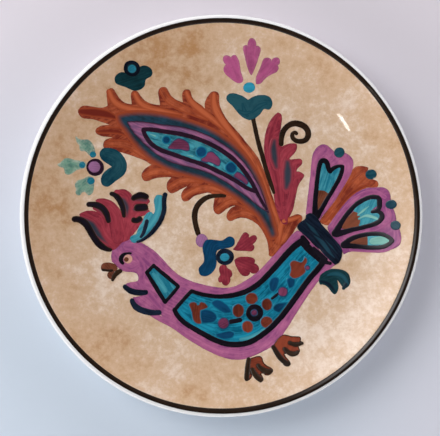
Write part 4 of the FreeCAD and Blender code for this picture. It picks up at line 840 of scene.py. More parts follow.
def outlines(node):
    """Each solid of a colour, read from its CAD node: its outline, then its holes."""
    shape = bmesh.new()
    shape.from_mesh(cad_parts[node].data)
    bmesh.ops.remove_doubles(shape, verts=shape.verts[:], dist=WELD)
    shape.verts.index_update()
    spots = np.array([vertex.co[:2] for vertex in shape.verts])
    sides = {(corner.vert.index, corner.link_loop_next.vert.index)
             for face in shape.faces if face.normal.z > FACING_UP for corner in face.loops}
    shape.free()
    after = {}
    for a, b in sorted(sides):
        if (b, a) not in sides:
            after.setdefault(a, []).append(b)
    found, holes = [], []
    while after:
        start = next(iter(after))
        loop, here = [], start
        while here in after:
            loop.append(here)
            onward = after[here].pop(rightmost(spots, loop, after[here]))
            if not after[here]:
                del after[here]
            here = onward
            if here == start:
                break
        flat = spots[loop]
        x, y = flat.T
        area = (x * np.roll(y, -1) - y * np.roll(x, -1)).sum() / 2
        (found if area > 0 else holes).append(flat)
    found = [loop for loop in found if np.ptp(loop, axis=0).max() > SMALLEST]
    return [(loop, [hole for hole in holes if inside(hole[:1], loop)[0]]) for loop in found]


def even_loop(loop, spacing):
    """The same closed outline with its points evenly spaced, and their places along it."""
    ring = np.vstack([loop, loop[:1]])
    _, place = steps_of(ring)
    count = max(FEWEST_POINTS, int(place[-1] / spacing))
    samples = np.linspace(0.0, place[-1], count, endpoint=False)
    return np.column_stack([np.interp(samples, place, ring[:, axis]) for axis in (0, 1)]), samples


def way_out(loop):
    """The way out of a closed outline at each of its points."""
    along = np.roll(loop, -1, axis=0) - np.roll(loop, 1, axis=0)
    along /= np.maximum(np.hypot(*along.T), 1e-9)[:, None]
    return np.column_stack([along[:, 1], -along[:, 0]])


def swollen(loop, place, grow):
    """An outline moved outwards, with the tremor of a hand."""
    sizes = bpy.context.scene.paint_sizes
    total = place[-1] + place[1]
    turn = 2 * math.pi * place / total
    waves = sum(np.sin(turn * round(total / wave) + wave * 900) * share
                for wave, share in TREMORS)
    return loop + way_out(loop) * (grow + sizes.tremor * waves)[:, None]


def inside(points, loop):
    """Which points lie within a closed outline."""
    ahead = np.roll(loop, -1, axis=0)
    result = np.zeros(len(points), bool)
    for (x0, y0), (x1, y1) in zip(loop, ahead):
        if y0 != y1:
            crossing = (points[:, 1] < y0) != (points[:, 1] < y1)
            level = x0 + (points[:, 1] - y0) * (x1 - x0) / (y1 - y0)
            result ^= crossing & (points[:, 0] < level)
    return result


def nearest(points, line):
    """Distance to a line of points, how far along it, and on which side."""
    start, step = line[:-1], np.diff(line, axis=0)
    run, place = steps_of(line)
    gap, along, side = (np.empty(len(points)) for _ in range(3))
    for first in range(0, len(points), BATCH):
        these = slice(first, first + BATCH)
        part = points[these, None, :] - start[None]
        share = np.clip((part * step).sum(2) / np.maximum(run ** 2, 1e-18), 0, 1)
        off = part - share[..., None] * step
        far = np.hypot(off[..., 0], off[..., 1])
        best = far.argmin(1)
        rows = np.arange(len(best))
        gap[these] = far[rows, best]
        along[these] = place[best] + share[rows, best] * run[best]
        turn = step[best, 0] * off[rows, best, 1] - step[best, 1] * off[rows, best, 0]
        side[these] = np.sign(turn)
    return gap, along, side


def brush_marks(points, guides):
    """How far along and across the brush's way each point lies."""
    middle = points.mean(0)
    if guides:
        lines = [smooth_line(np.array(g) * DRAWING_UNIT, GUIDE_STEP)[0] for g in guides]
        line = min(lines, key=lambda one: nearest(middle[None], one)[0][0])
        gap, along, side = nearest(points, line)
        return along, gap * side
    _, _, axes = np.linalg.svd(points - middle, full_matrices=False)
    return ((points - middle) @ axes.T).T


def gap_to(points, rings):
    """Distance to the nearest of several closed outlines."""
    return np.min([nearest(points, np.vstack([ring, ring[:1]]))[0] for ring in rings], axis=0)


def banks(ring):
    """Rows of points close inside an outline, which carry the rounded shoulder of the paint.

    Each row comes with the least distance that its points have to keep from every outline.
    """
    return [((ring - way_out(ring) * far)[::every], far * 0.9) for far, every in BANKS]


def fill(touches, finish, form, loop, holes, grow, lift, guides, tone):
    """A filled touch of paint: domed towards its edge, and closed under the surface."""
    sizes = bpy.context.scene.paint_sizes
    rings = [swollen(*even_loop(ring, OUTLINE_STEP), grow) for ring in (loop, *holes)]
    rim = rings[0]
    low, high = rim.min(0), rim.max(0)
    levels = np.arange(low[1], high[1], sizes.grain * ROW_SHARE)
    seeds = [(x + (n % 2) * sizes.grain / 2, y) for n, y in enumerate(levels)
             for x in np.arange(low[0], high[0], sizes.grain)]
    extra = []
    rows = [(np.array(seeds).reshape(-1, 2), CLEAR_OF_EDGE)]
    rows += [row for ring in rings for row in banks(ring)]
    for points, least in rows:
        if len(points):
            points = points[inside(points, rim)]
        if len(points):
            extra.append(points[gap_to(points, rings) > least])
    flat = np.vstack(rings + extra)
    ends = np.cumsum([0] + [len(ring) for ring in rings])
    joined = [(int(n), int(n + 1 if n + 1 < last else first))
              for first, last in zip(ends[1:-1], ends[2:]) for n in range(first, last)]
    made, _, faces, *_ = geometry.delaunay_2d_cdt(
        [Vector(p) for p in (flat / MM).tolist()], joined, [list(range(len(rim)))],
        WITHIN_OUTLINE, SAME_POINT)
    points = np.array([tuple(p) for p in made]) * MM
    if holes:
        middles = points[np.array(faces)].mean(1)
        gone = np.any([inside(middles, ring) for ring in rings[1:]], axis=0)
        faces = [face for face, out in zip(faces, gone) if not out]
    edge = gap_to(points, rings)
    edge[edge < ON_THE_EDGE] = 0.0
    full = np.clip(edge / sizes.shoulder, 0, 1)
    bead = np.exp(-((edge - BEAD_PLACE) / BEAD_WIDTH) ** 2) * BEAD_SHARE
    dome = sizes.coat * (np.sqrt(1 - (1 - full) ** 2) + bead)
    level = form.ground_top(points[:, 0], points[:, 1])
    top = np.column_stack([points, level + lift + dome])
    under = np.column_stack([points, level - sizes.sink])
    count = len(points)
    sides = {(a, b) for face in faces for a, b in zip(face, face[1:] + face[:1])}
    walls = [(b, a, a + count, b + count) for a, b in sides if (b, a) not in sides]
    shell = [tuple(face) for face in faces]
    shell += [tuple(corner + count for corner in reversed(face)) for face in faces]
    way, off = brush_marks(points, guides)
    marks = np.column_stack([way, off, edge, np.full(count, tone)])
    touches.add(np.vstack([top, under]), shell + walls, np.vstack([marks, marks]), finish)


def tone_of(loop, tones, number):
    """The tone asked for nearest to a touch, or one of its own."""
    if not tones:
        return own_tone(number)
    middle = loop.mean(0) / DRAWING_UNIT
    return min(tones, key=lambda one: math.dist(one[0], middle))[1]


def paint(node, finish, layer, guides=(), strokes=(), accents=(), tones=(), on_top=False,
          grow=0.0):
    """One colour of the painting, in place of its CAD node.

    Colours run on under those that lie over them; only what is on top keeps its own edge and
    its holes. Strokes are laid over the filled outline, and accents in another finish.
    """
    sizes = bpy.context.scene.paint_sizes
    form, touches = Form(), Touches()
    lift = layer * sizes.layer_step
    grow = grow * MM + (0.0 if on_top else sizes.overlap)
    for number, (loop, holes) in enumerate(outlines(node)):
        fill(touches, finish, form, loop, holes if on_top else [], grow, lift, guides,
             tone_of(loop, tones, number))
    surface = bpy.data.objects["ground_coat"]
    blended = finish + "_soft" if finish + "_soft" in ENAMELS else finish
    for place, (kind, lines) in enumerate([(blended, strokes), *accents]):
        if lines:
            paths = stroke_paths(node + "_paths", lines)
            raised = lift + sizes.coat * (STROKE_RAISE + ACCENT_RAISE * place)
            touches.take(brushed(node + "_strokes", paths, surface, kind, raised,
                                 sizes.coat * STROKE_COAT), kind)
    return piece(node + "_paint", touches.mesh(node + "_paint"), node)


# ---------------------------------------------------------------- operators

class Craft:
    """What all of the plate's operators share."""
    bl_options = {"REGISTER", "UNDO"}


class PLATE_OT_blank(Craft, bpy.types.Operator):
    """Turn the clay plate with its foot ring and coat it with white glaze"""
    bl_idname = "plate.blank"
    bl_label = "Blank and White Glaze"

    def execute(self, context):
        form = Form()
        self.clay(form)
        self.white(form)
        self.recess(form)
        return {"FINISHED"}

    def clay(self, form):
        """The clay, from the floor over the lip to the foot ring and its recess."""
        half, inner, outer, bevel = form.half_wall, form.foot_inner, form.foot_outer, form.bevel
        face_end, back_end = form.lip_ends(half)
        section = form.flat(form.floor) + form.arc(form.face, form.well, face_end, WALL_STEPS)[1:]
        section += form.round_lip(half, HIDDEN_LIP_STEPS)[1:-1]
        section += form.arc(form.back, back_end, outer, BACK_STEPS)
        section += [(outer, bevel), (outer - bevel, 0.0), (inner + bevel, 0.0), (inner, bevel)]
        section += form.arc(form.back, inner, form.well, RECESS_STEPS)
        section += form.flat(form.underside, outwards=False)[1:]
        turned("clay_plate", section, "clay_body", "bare_clay")

    def white(self, form):
        """The white glaze over face, lip and back, down to the foot, and back along the clay."""
        half, coat, outer, bevel = form.half_wall, form.coat, form.foot_outer, form.bevel
        thick = half + coat
        face_end, back_end = form.lip_ends(thick)
        section = form.flat(form.floor + coat)
        section += form.arc(form.face - coat, form.well, face_end, WALL_STEPS)[1:]
        section += form.round_lip(thick, LIP_STEPS)[1:-1]
        section += form.arc(form.back + coat, back_end, outer + coat, BACK_STEPS)
        section += [(outer + coat, bevel + coat), (outer + coat * ROUNDED_TOE, bevel),
                    (outer, bevel)]
        face_end, back_end = form.lip_ends(half)
        section += form.arc(form.back, outer, back_end, BACK_STEPS)
        section += form.round_lip(half, LIP_STEPS)[::-1][1:]
        section += form.arc(form.face, face_end, form.well, WALL_STEPS)[1:]
        section += form.flat(form.floor, outwards=False)[1:]
        turned("white_coat", section, "white_glaze", "white_glaze")

    def recess(self, form):
        """The white glaze inside the foot ring."""
        coat, inner, bevel = form.coat, form.foot_inner, form.bevel
        section = form.flat(form.underside)
        section += form.arc(form.back, form.well, inner, RECESS_STEPS)[1:] + [(inner, bevel)]
        section += [(inner - coat * ROUNDED_TOE, bevel), (inner - coat, bevel + coat)]
        section += form.arc(form.back + coat, inner - coat, form.well, RECESS_STEPS)
        section += form.flat(form.underside - coat, outwards=False)[1:]
        turned("recess_coat", section, "recess_glaze", "white_glaze")


class PLATE_OT_ground(Craft, bpy.types.Operator):
    """Sponge the tan ground on the face"""
    bl_idname = "plate.ground"
    bl_label = "Tan Ground"

    def execute(self, context):
        form, sizes = Form(), context.scene.plate_sizes
        under_line = 0.3 * MM       # the ground runs on a little under the line
        reach = boxes["tan_ground"][1].x + under_line
        under, over = form.face - form.coat, form.face - form.coat - form.ground
        section = form.flat(form.floor + form.coat + form.ground)
        section += form.arc(over, form.well, reach - sizes.ground_fade, GROUND_STEPS)[1:]
        section += form.arc(under, reach, form.well, WALL_STEPS)
        section += form.flat(form.floor + form.coat, outwards=False)[1:]
        turned("ground_coat", section, "tan_ground", "tan_ground")
        return {"FINISHED"}


class PLATE_OT_line(Craft, bpy.types.Operator):
    """Band the dark line along the lip, wider where the brush pressed"""
    bl_idname = "plate.line"
    bl_label = "Rim Line"
    steps = 720
    press = ((1, 0.87, 0.6), (2, 1.7, 0.3), (5, 0.4, 0.12), (11, 0.0, 0.08))    # of the brush

    def execute(self, context):
        sizes = context.scene.paint_sizes
        low, high = boxes["rim_line"]
        centre, radius = (low + high) / 2, (high.x - low.x) / 2 - sizes.line_width / 2
        turns = np.linspace(0, 2 * math.pi, self.steps, endpoint=False)
        press = sum(np.cos(waves * turns + start) * share for waves, start, share in self.press)
        halves = sizes.line_width / 2 * (1 + sizes.line_swing * press)
        points = [(centre.x + radius * math.cos(t), centre.y + radius * math.sin(t), 0.0)
                  for t in turns]
        edges = [(n, (n + 1) % len(points)) for n in range(len(points))]
        paths = line_mesh("rim_path", points, edges, halves, [0.5] * len(points))
        touches = Touches()
        touches.take(brushed("rim_band", paths, bpy.data.objects["white_coat"], "line",
                             sizes.line_lift, sizes.line_coat), "line")
        piece("rim_band", touches.mesh("rim_band"), "rim_line")
        return {"FINISHED"}


class PLATE_OT_bird(Craft, bpy.types.Operator):
    """Paint the bird's body, neck panel, throat and beak"""
    bl_idname = "plate.bird"
    bl_label = "Bird"

    def execute(self, context):
        back = [(-48, -15.5), (-41, -17.5), (-34, -23.5), (-26, -30.5), (-17, -35.3), (-7, -38),
                (2, -38.8), (11, -36), (19, -30), (27, -22), (34, -14), (39, -10)]
        breast = [(-40, -46.4), (-32, -51.6), (-25, -55), (-17, -60.4), (-8, -65.4),
                  (2, -69.4), (11, -70), (20, -67), (28, -60), (35, -51), (42, -41), (49, -31.6),
                  (55.5, -25.6)]
        paint("bird_body", "violet", 0, [back, breast], [
            (back, [3.4, 4, 3.6, 3, 2.6, 2.4, 2.6, 2.8, 2.4, 2], 0.55),
            (breast, [2, 3, 3.4, 3.6, 3.4, 3.2, 3.6, 3.2, 2.6, 2], 0.6),
            ([(-53.5, -20), (-50, -24.6), (-45.5, -26.4), (-42, -24.5)], [2.6, 3.2, 3, 2], 0.4),
            ([(-43, -21), (-40, -27), (-40.4, -33), (-36.5, -40), (-31, -46.5)],
             [3, 3.4, 2.6, 3, 2.4], 0.35)])
        paint("neck_panel", "sky", 2, [[(-36, -27.4), (-27.6, -40.4)]],
              [([(-34.4, -29.6), (-31, -34), (-28.4, -38)], [1.6, 3, 2.4], 0.7)],
              tones=[((-31, -34), 0.35)], grow=0.3)
        paint("neck_outline", "black", 4, on_top=True)
        paint("wattle_strokes", "night", 4, on_top=True)
        paint("beak", "brown", 1)
        paint("beak_strokes", "umber", 4, on_top=True)
        paint("eye_white", "cream", 3)
        paint("eye_line", "eye", 5, tones=[((-49, -21), 0.5), ((-48, -22.3), 0.1)],
              on_top=True)
        return {"FINISHED"}


class PLATE_OT_belly(Craft, bpy.types.Operator):
    """Paint the turquoise belly panel with its blossoms and leaves"""
    bl_idname = "plate.belly"
    bl_label = "Belly Panel"

    def execute(self, context):
        middle = [(-20, -46), (-10, -50), (0, -52), (10, -52), (20, -47), (30, -37), (38, -28),
                  (46, -19)]
        paint("belly_panel", "turquoise", 2, [middle], [
            ([(-19, -46), (-12, -49.5), (-4, -45), (6, -43.5), (15, -41), (22, -37)],
             [2, 2.6, 2.6, 2.4, 2, 1.4], 0.8),
            ([(-14, -53.5), (-4, -58), (6, -61.6), (14, -60), (22, -55)], [2, 2.8, 2.8, 2.4, 1.6],
             0.9),
            ([(-21, -48), (-18.4, -51.4), (-13, -56.4)], [2, 3, 2], 0.9),
            ([(24, -34), (30, -27.5), (36, -21), (42, -16)], [1.6, 2.2, 2.2, 1.4], 0.7),
            ([(34, -42), (40, -34), (45, -27), (49, -22.5)], [1.6, 2.2, 2.4, 1.6], 0.3)],
              [("sky_soft", [([(10, -62.6), (17, -61), (23, -57)], [1.6, 2.8, 1.6], 0.8)])],
              grow=0.3)
        paint("belly_leaves", "blue_wet", 4)
        paint("belly_blossoms", "blossom", 5, grow=0.35)
        paint("belly_outline", "black", 6, [middle], accents=[
            ("black", [([(41.6, -11), (44.4, -13.8)], [2.6, 1.8]),
                       ([(47.2, -16.4), (50, -19.2), (53.4, -22)], [1.6, 2.4, 1.6]),
                       ([(51.4, -23), (55.4, -24)], [2.4, 1.8])])], on_top=True, grow=-0.1)
        paint("belly_centres", "black", 6, on_top=True)
        paint("belly_dots", "plum", 7)
        return {"FINISHED"}


class PLATE_OT_crest(Craft, bpy.types.Operator):
    """Paint the crimson crest and the turquoise feather behind it"""
    bl_idname = "plate.crest"
    bl_label = "Crest"

    def execute(self, context):
        lobes = [[(-70, 0.2), (-66, -1.6), (-62.3, -5), (-58.8, -9.5), (-55, -14.8)],
                 [(-62, 7), (-58, 5.4), (-54.8, 1.5), (-53.4, -4), (-52.6, -11)],
                 [(-53, 12), (-49, 10.4), (-47.2, 5), (-47.4, -1), (-49, -9)],
                 [(-38.6, 6.6), (-43, 6.2), (-45.4, 2), (-46.4, -4), (-47.8, -9.6)],
                 [(-38, 1.8), (-41.6, 1.4), (-44, -2), (-46, -6)]]
        paint("crest", "crimson", 1, lobes,
              [(lobe, [3, 3.8, 4, 3.4, 2], 0.35 + 0.12 * n) for n, lobe in enumerate(lobes)],
              [("slate", [([(-70.6, -0.6), (-65.6, -4.2), (-62, -9.6), (-57.6, -14)],
                           [2.4, 5, 5, 2]),
                          ([(-64, 4.2), (-59.2, 1.8), (-56.6, -2)], [2.4, 4.8, 3]),
                          ([(-53.2, 10), (-49.4, 7.6), (-47.8, 3.6), (-48, 0)],
                           [2.4, 4.2, 4.4, 2.4]),
                          ([(-44.6, 8.6), (-38.6, 8.2)], 3.6),
                          ([(-43.4, 3.4), (-38.8, 3.4)], 3.8),
                          ([(-44.4, -2.4), (-41, -2.2)], 3)]),
               ("crimson_soft", [([(-51, -0.6), (-50.2, -5.4), (-48.8, -10)], [1.2, 2, 1.2], 1.1),
                                 ([(-60.4, -5), (-58.4, -9.6), (-55.4, -13)], [1.4, 2.6, 1.4],
                                  0.95),
                                 ([(-56.6, 4), (-54, 0), (-53.4, -6)], [1.2, 2.2, 1.4], 0.9)])])
        paint("crest_strokes", "crest_black", 6)
        sweep = [(-31, 9.6), (-31.6, 4), (-33.4, -1), (-37, -6), (-41, -10), (-45, -12)]
        paint("crest_feather", "sky", 3, [sweep],
              [(sweep, [2, 2.6, 3, 2.6, 2, 1.4], 0.95)], tones=[((-35, 0), 0.5)], grow=0.25)
        paint("crest_feather_strokes", "night", 6, on_top=True)
        return {"FINISHED"}


class PLATE_OT_feet(Craft, bpy.types.Operator):
    """Paint both feet with their claws"""
    bl_idname = "plate.feet"
    bl_label = "Feet"

    def execute(self, context):
        paint("feet", "sienna", 0)
        paint("feet_strokes", "umber", 5, on_top=True)
        return {"FINISHED"}


class PLATE_OT_tail(Craft, bpy.types.Operator):
    """Paint the tail fan, its hearts, its binding and the spur below it"""
    bl_idname = "plate.tail"
    bl_label = "Tail"

    def execute(self, context):
        ribs = [[(46, 3), (46.4, 12), (47.2, 22), (48.6, 30.6), (52, 34)],
                [(57.6, 30.4), (63, 28.6), (64.8, 25), (62, 18), (57.6, 10.5), (51.6, 1.6)],
                [(57, -5), (61, 0.6), (66, 6.4), (71.5, 10.6), (78, 12), (82.4, 9.6)],
                [(83.8, 4), (84.4, -1), (79.5, -5.4), (72, -7.6), (64, -10)],
                [(87.4, -6), (87.6, -12), (84, -16), (76, -17), (66, -17)]]
        feather = [(53, -2.4), (57.6, 3), (62.4, 9.6), (67.4, 15.6), (72.4, 20.6)]
        paint("tail_feather", "rust", 0, [feather], [
            (feather, [2, 3, 3.6, 4, 3], 0.45),
            ([(56, -1.6), (61, 5.6), (67, 12), (74.5, 16)], [1.4, 2, 2.4, 2], 0.35),
            ([(54, 0.8), (59, 7), (63.5, 14.6), (67.6, 21.8)], [1.4, 2, 2.2, 2], 0.5)])
        # The ribs grow darker to the right and the fan's right-hand piece is toned down: painted
        # shade against the glaze's sheen on that side.
        paint("tail_fan", "violet", 1, ribs,
              [(rib, [2, 2.8, 3, 2.8, 2], 0.7 - 0.15 * n) for n, rib in enumerate(ribs)],
              tones=[((52, 20), 0.5), ((76, 0), 0.15)])
        paint("tail_bases", "brown", 4, grow=0.2)
        paint("tail_hearts", "sky", 4,
              accents=[("foam", [([(77, -12.7), (80, -12.3), (84.4, -12.5)], [4.2, 4.8, 3.6]),
                                 ([(70, -1.4), (73.2, 0), (78.4, -1.2)], [1.2, 2.2, 2]),
                                 ([(69.6, 0.6), (72.8, 3.4), (74.6, 4.8)], [1.2, 1.8, 1])])],
              tones=[((54, 19), 0.45), ((75, 2), 0.55), ((80, -12.5), 1.0)], grow=0.3)
        paint("tail_outlines", "black", 6, on_top=True)
        # The rightmost dot is toned down as painted shade against the sheen on the right.
        paint("tail_dots", "teal", 5,
              tones=[((54, 39), 0.6), ((72, 24), 0.4), ((84, 8), 0.15)])
        paint("tail_binding", "night", 7, [[(42, -3), (48, -8), (54, -14), (60, -22)]],
              # The bluish strokes laid on the binding are a painted sheen.
              accents=[("steel", [([(43.4, -3.4), (46.6, -6.6), (49.6, -10)], [1.4, 2.8, 1.6]),
                                  ([(47.4, -10), (51.6, -13.6), (54.6, -17.6), (57.6, -21)],
                                   [1.4, 3, 2.8, 1.4]),
                                  ([(53, -12.2), (56, -15.4), (59, -19)], [1, 1.8, 1])])])
        paint("tail_spur", "fir", 2, [[(51, -32), (56, -29.4), (61, -30), (63.4, -34.6)]],
              accents=[("teal_soft", [([(54.4, -30), (58.6, -29.4), (62.4, -31.2), (64.2, -34.4)],
                                      [1, 2, 2, 1.2], 0.9)]),
                       ("dusk", [([(51, -33.2), (54.4, -34.4), (57.4, -38)], [2, 2.6, 1.8]),
                                 ([(62, -36.6), (63.2, -34.8)], [1.6, 2.2])])])
        return {"FINISHED"}


class PLATE_OT_plume(Craft, bpy.types.Operator):
    """Paint the great plume, barb by barb, with its banded heart"""
    bl_idname = "plate.plume"
    bl_label = "Plume"

    def execute(self, context):
        barbs = [
            ([(-70, 52.4), (-64, 52.2), (-58, 51.4), (-52, 49.2)], [3.6, 4.8, 4.4, 2], 0.0),
            ([(-56.2, 62.4), (-54.4, 58.4), (-49.6, 55.2), (-42, 54), (-33, 53.4)],
             [3, 3.6, 3.4, 2.4, 1.2], 0.8),
            ([(-43.4, 61.4), (-41.4, 57.8), (-36.6, 55), (-29, 53.4), (-20, 51.6)],
             [2.8, 3.4, 3.2, 2.4, 1.2], 0.9),
            ([(-29.6, 63.2), (-27.2, 59.6), (-22.6, 56.4), (-15, 52.8), (-7, 49)],
             [3.4, 4.2, 4, 3, 1.2], 0.55),
            ([(-17.4, 62.4), (-15.6, 58.8), (-11.4, 54.8), (-5, 49.8), (2, 43.6)],
             [2.6, 3.6, 3.8, 3, 1.4], 0.75),
            ([(-3.6, 61.4), (-3.4, 57), (-1.2, 51.4), (3, 45.4), (8.6, 38.6), (14, 31.6),
              (18.4, 24)], [3, 4.2, 4, 3.4, 3, 2.4, 1.2], 0.85),
            ([(10, 38), (15.4, 30.8), (19.6, 23), (22.8, 14.4), (26, 5), (29, -4), (28.4, -13)],
             [1.6, 2.4, 2.6, 2.4, 3, 3.6, 2], 0.6),
            ([(-61.8, 43.2), (-57, 43.4), (-51, 43), (-45.4, 39.6)], [3, 3.8, 3.6, 1.6], 0.4),
            ([(-57.6, 36.6), (-52, 36.8), (-46, 35.4), (-40, 31.4), (-34, 27.4)],
             [3.4, 4.4, 4, 3, 1.6], 0.5),
            ([(-38.8, 20.8), (-34, 22.4), (-28, 22.6), (-21, 21)], [3, 3.8, 3.2, 1.4], 0.55),
            ([(-26, 14.4), (-22.6, 16.8), (-17, 18.2), (-10, 17.2)], [3, 3.4, 3, 1.4], 0.5),
            ([(-18.8, 9.8), (-15.4, 12.2), (-10, 14), (-3, 13.8), (4, 10.8)],
             [2.8, 3.4, 3.4, 2.6, 1.2], 0.6),
            ([(-2.2, 2.8), (1, 5.2), (6, 7.4), (11, 5.8), (17, 1)], [2.6, 3.2, 3, 2.6, 1.2],
             0.5),
            ([(4.6, -0.6), (9.4, 1.4), (14.4, 0.6), (19.4, -2.8), (23, -8), (25.4, -15)],
             [2.8, 3.6, 3.6, 3.2, 2.8, 2], 0.5),
            ([(39.8, -0.4), (35.4, -1.8), (31.4, -3), (30, -8), (29.4, -14)],
             [1.8, 2.8, 3.6, 3.2, 1.6], 0.9)]
        lights = [
            ([(-55.6, 60.6), (-53.4, 57), (-48.6, 55), (-42, 54.6)], [1, 1.5, 1.3, 0.5], 1.0),
            ([(-42.6, 60), (-39.6, 56.6), (-34, 54.8), (-26, 53.4)], [1, 1.6, 1.3, 0.5], 1.0),
            ([(-28, 61.4), (-24.4, 57.4), (-18, 54.2), (-10, 50.4)], [0.8, 1.3, 1.2, 0.5], 0.85),
            ([(-3.4, 59.6), (-2.2, 54.4), (1.4, 48), (7, 41)], [0.8, 1.5, 1.3, 0.5], 1.0),
            ([(-10, 51), (-2, 46.6), (5, 40.4), (11, 33)], [0.5, 1.2, 1.2, 0.5], 1.0),
            ([(27.6, -11), (28.6, -5), (28.6, 1)], [0.8, 1.2, 0.5], 1.0),
            ([(38.6, -0.8), (34, -2.4), (31.8, -6)], [0.6, 1.2, 0.5], 1.0)]
        paint("plume_feather", "rust", 0, [spine for spine, *_ in barbs],
              barbs + lights, tones=[((-20, 40), 0.45)])
        middle = [(-50, 49), (-42, 45), (-30, 41), (-18, 36.6), (-6, 31.4), (4, 25), (13, 17.6),
                  (20, 8.6), (24, 0), (27, -9)]
        paint("plume_teal_band", "teal_wet", 5, [middle], grow=1.3)
        paint("plume_violet_band", "violet_wet", 6, [middle])
        paint("plume_turquoise", "pool", 7, [middle], accents=[
            ("sky_soft", [([(-38, 42.6), (-33, 40.4)], [1.6, 2.6], 0.9),
                          ([(-20, 31.6), (-15, 30.4), (-11, 28.6)], [1.2, 2.4, 1.4], 1.0),
                          ([(-18, 36.6), (-14.6, 35.4)], [1.8, 2.6], 0.8),
                          ([(-5.4, 31), (-3, 29)], [1.6, 2.4], 0.7),
                          ([(0.4, 26.6), (2.4, 24.6)], [1.6, 2.6], 1.0)]),
            ("foam", [([(-17.4, 31), (-14.6, 30.4)], [0.9, 1.5]),
                      ([(-6.4, 27), (-4.4, 26)], [0.9, 1.4]),
                      ([(-36, 41.6), (-33.6, 40.8)], [0.9, 1.4])])])
        paint("plume_crimson_buds", "plum", 9)
        paint("plume_blue_spots", "blue_wet", 10)
        paint("plume_outline", "aubergine", 10, [middle], on_top=True)
        return {"FINISHED"}


class PLATE_OT_leaf(Craft, bpy.types.Operator):
    """Paint the crimson leaf, its veins and the tendril"""
    bl_idname = "plate.leaf"
    bl_label = "Leaf and Tendril"

    def execute(self, context):
        lobes = [([(28.6, 50.4), (26.4, 45), (25, 38), (25.4, 30), (27.6, 20), (29.6, 9),
                   (31.6, -1)], [2, 3.2, 3.4, 3.2, 3, 2.6, 1.6], 0.3),
                 ([(37, 35.4), (33.4, 32.6), (30.6, 26), (30.4, 18), (31.6, 8)],
                  [2, 3, 3, 2.6, 1.4], 0.75),
                 ([(40.4, 27.8), (36.6, 26.4), (34, 20), (33.4, 12)], [1.8, 2.8, 2.8, 1.6], 0.9),
                 ([(41, 20.6), (38, 19.4), (36.2, 13), (34.4, 5), (33, -2)],
                  [1.8, 2.4, 2.6, 2.2, 1.2], 0.6)]
        paint("crimson_leaf", "crimson", 1, [spine for spine, *_ in lobes], lobes)
        paint("crimson_leaf_veins", "slate", 5, grow=0.5)
        paint("tendril", "umber", 4, on_top=True)
        return {"FINISHED"}


class PLATE_OT_flowers(Craft, bpy.types.Operator):
    """Paint the three flowers and the bud"""
    bl_idname = "plate.flowers"
    bl_label = "Flowers and Bud"

    def execute(self, context):
        paint("top_flower_stem", "umber", 1, on_top=True)
        paint("top_flower_petals", "magenta", 0)
        paint("top_flower_cup", "teal", 2,
              [[(4, 60), (10, 58), (14.4, 52), (19, 57), (25, 58)]],
              [([(16, 53), (19.6, 56), (23, 57.4)], [1.4, 2.6, 1.4], 0.95),
               ([(13.4, 51), (11.6, 54.4), (11, 57)], [1.4, 2.2, 1.2], 0.85)],
              [("teal_soft", [([(9, 53.6), (12, 52.4), (14.6, 52.8)], [1.4, 2.4, 1.6], 0.95)])],
              tones=[((12, 55), 0.95)])
        paint("top_flower_dot", "cyan", 0, tones=[((10, 64), 0.9)])
        paint("left_flower_petals", "mist", 0, grow=0.1)
        paint("left_flower_dabs", "sky", 1, tones=[((-60, 24), 0.3)])
        paint("left_flower_cup", "teal", 1,
              [[(-58, 32), (-52, 29), (-51, 25), (-54, 21), (-58.4, 17)]])
        paint("left_flower_ring", "aubergine", 2, on_top=True)
        paint("left_flower_heart", "lilac", 4)
        paint("hanging_flower_stem", "umber", 1, on_top=True)
        paint("hanging_flower_joint", "lilac", 1)
        paint("hanging_flower_petals", "crimson", 0, tones=[((6, -25), 0.25)])
        paint("hanging_flower_cup", "blue", 2,
              [[(4, -13), (-4, -14.6), (-6, -22), (-8.6, -28)]])
        paint("hanging_flower_ring", "night", 3, on_top=True)
        paint("hanging_flower_heart", "cyan", 5)
        paint("bud_leaves", "fir", 1, accents=[
            ("night", [([(-48, 73.4), (-47.4, 76), (-44.8, 77.1), (-42.2, 76), (-41.6, 73.4),
                         (-43.4, 71.4), (-46, 71.4), (-47.8, 72.8)], 1.7, 0.2)])])
        paint("bud_dot", "cyan", 5, tones=[((-44.8, 74), 0.2)])
        return {"FINISHED"}


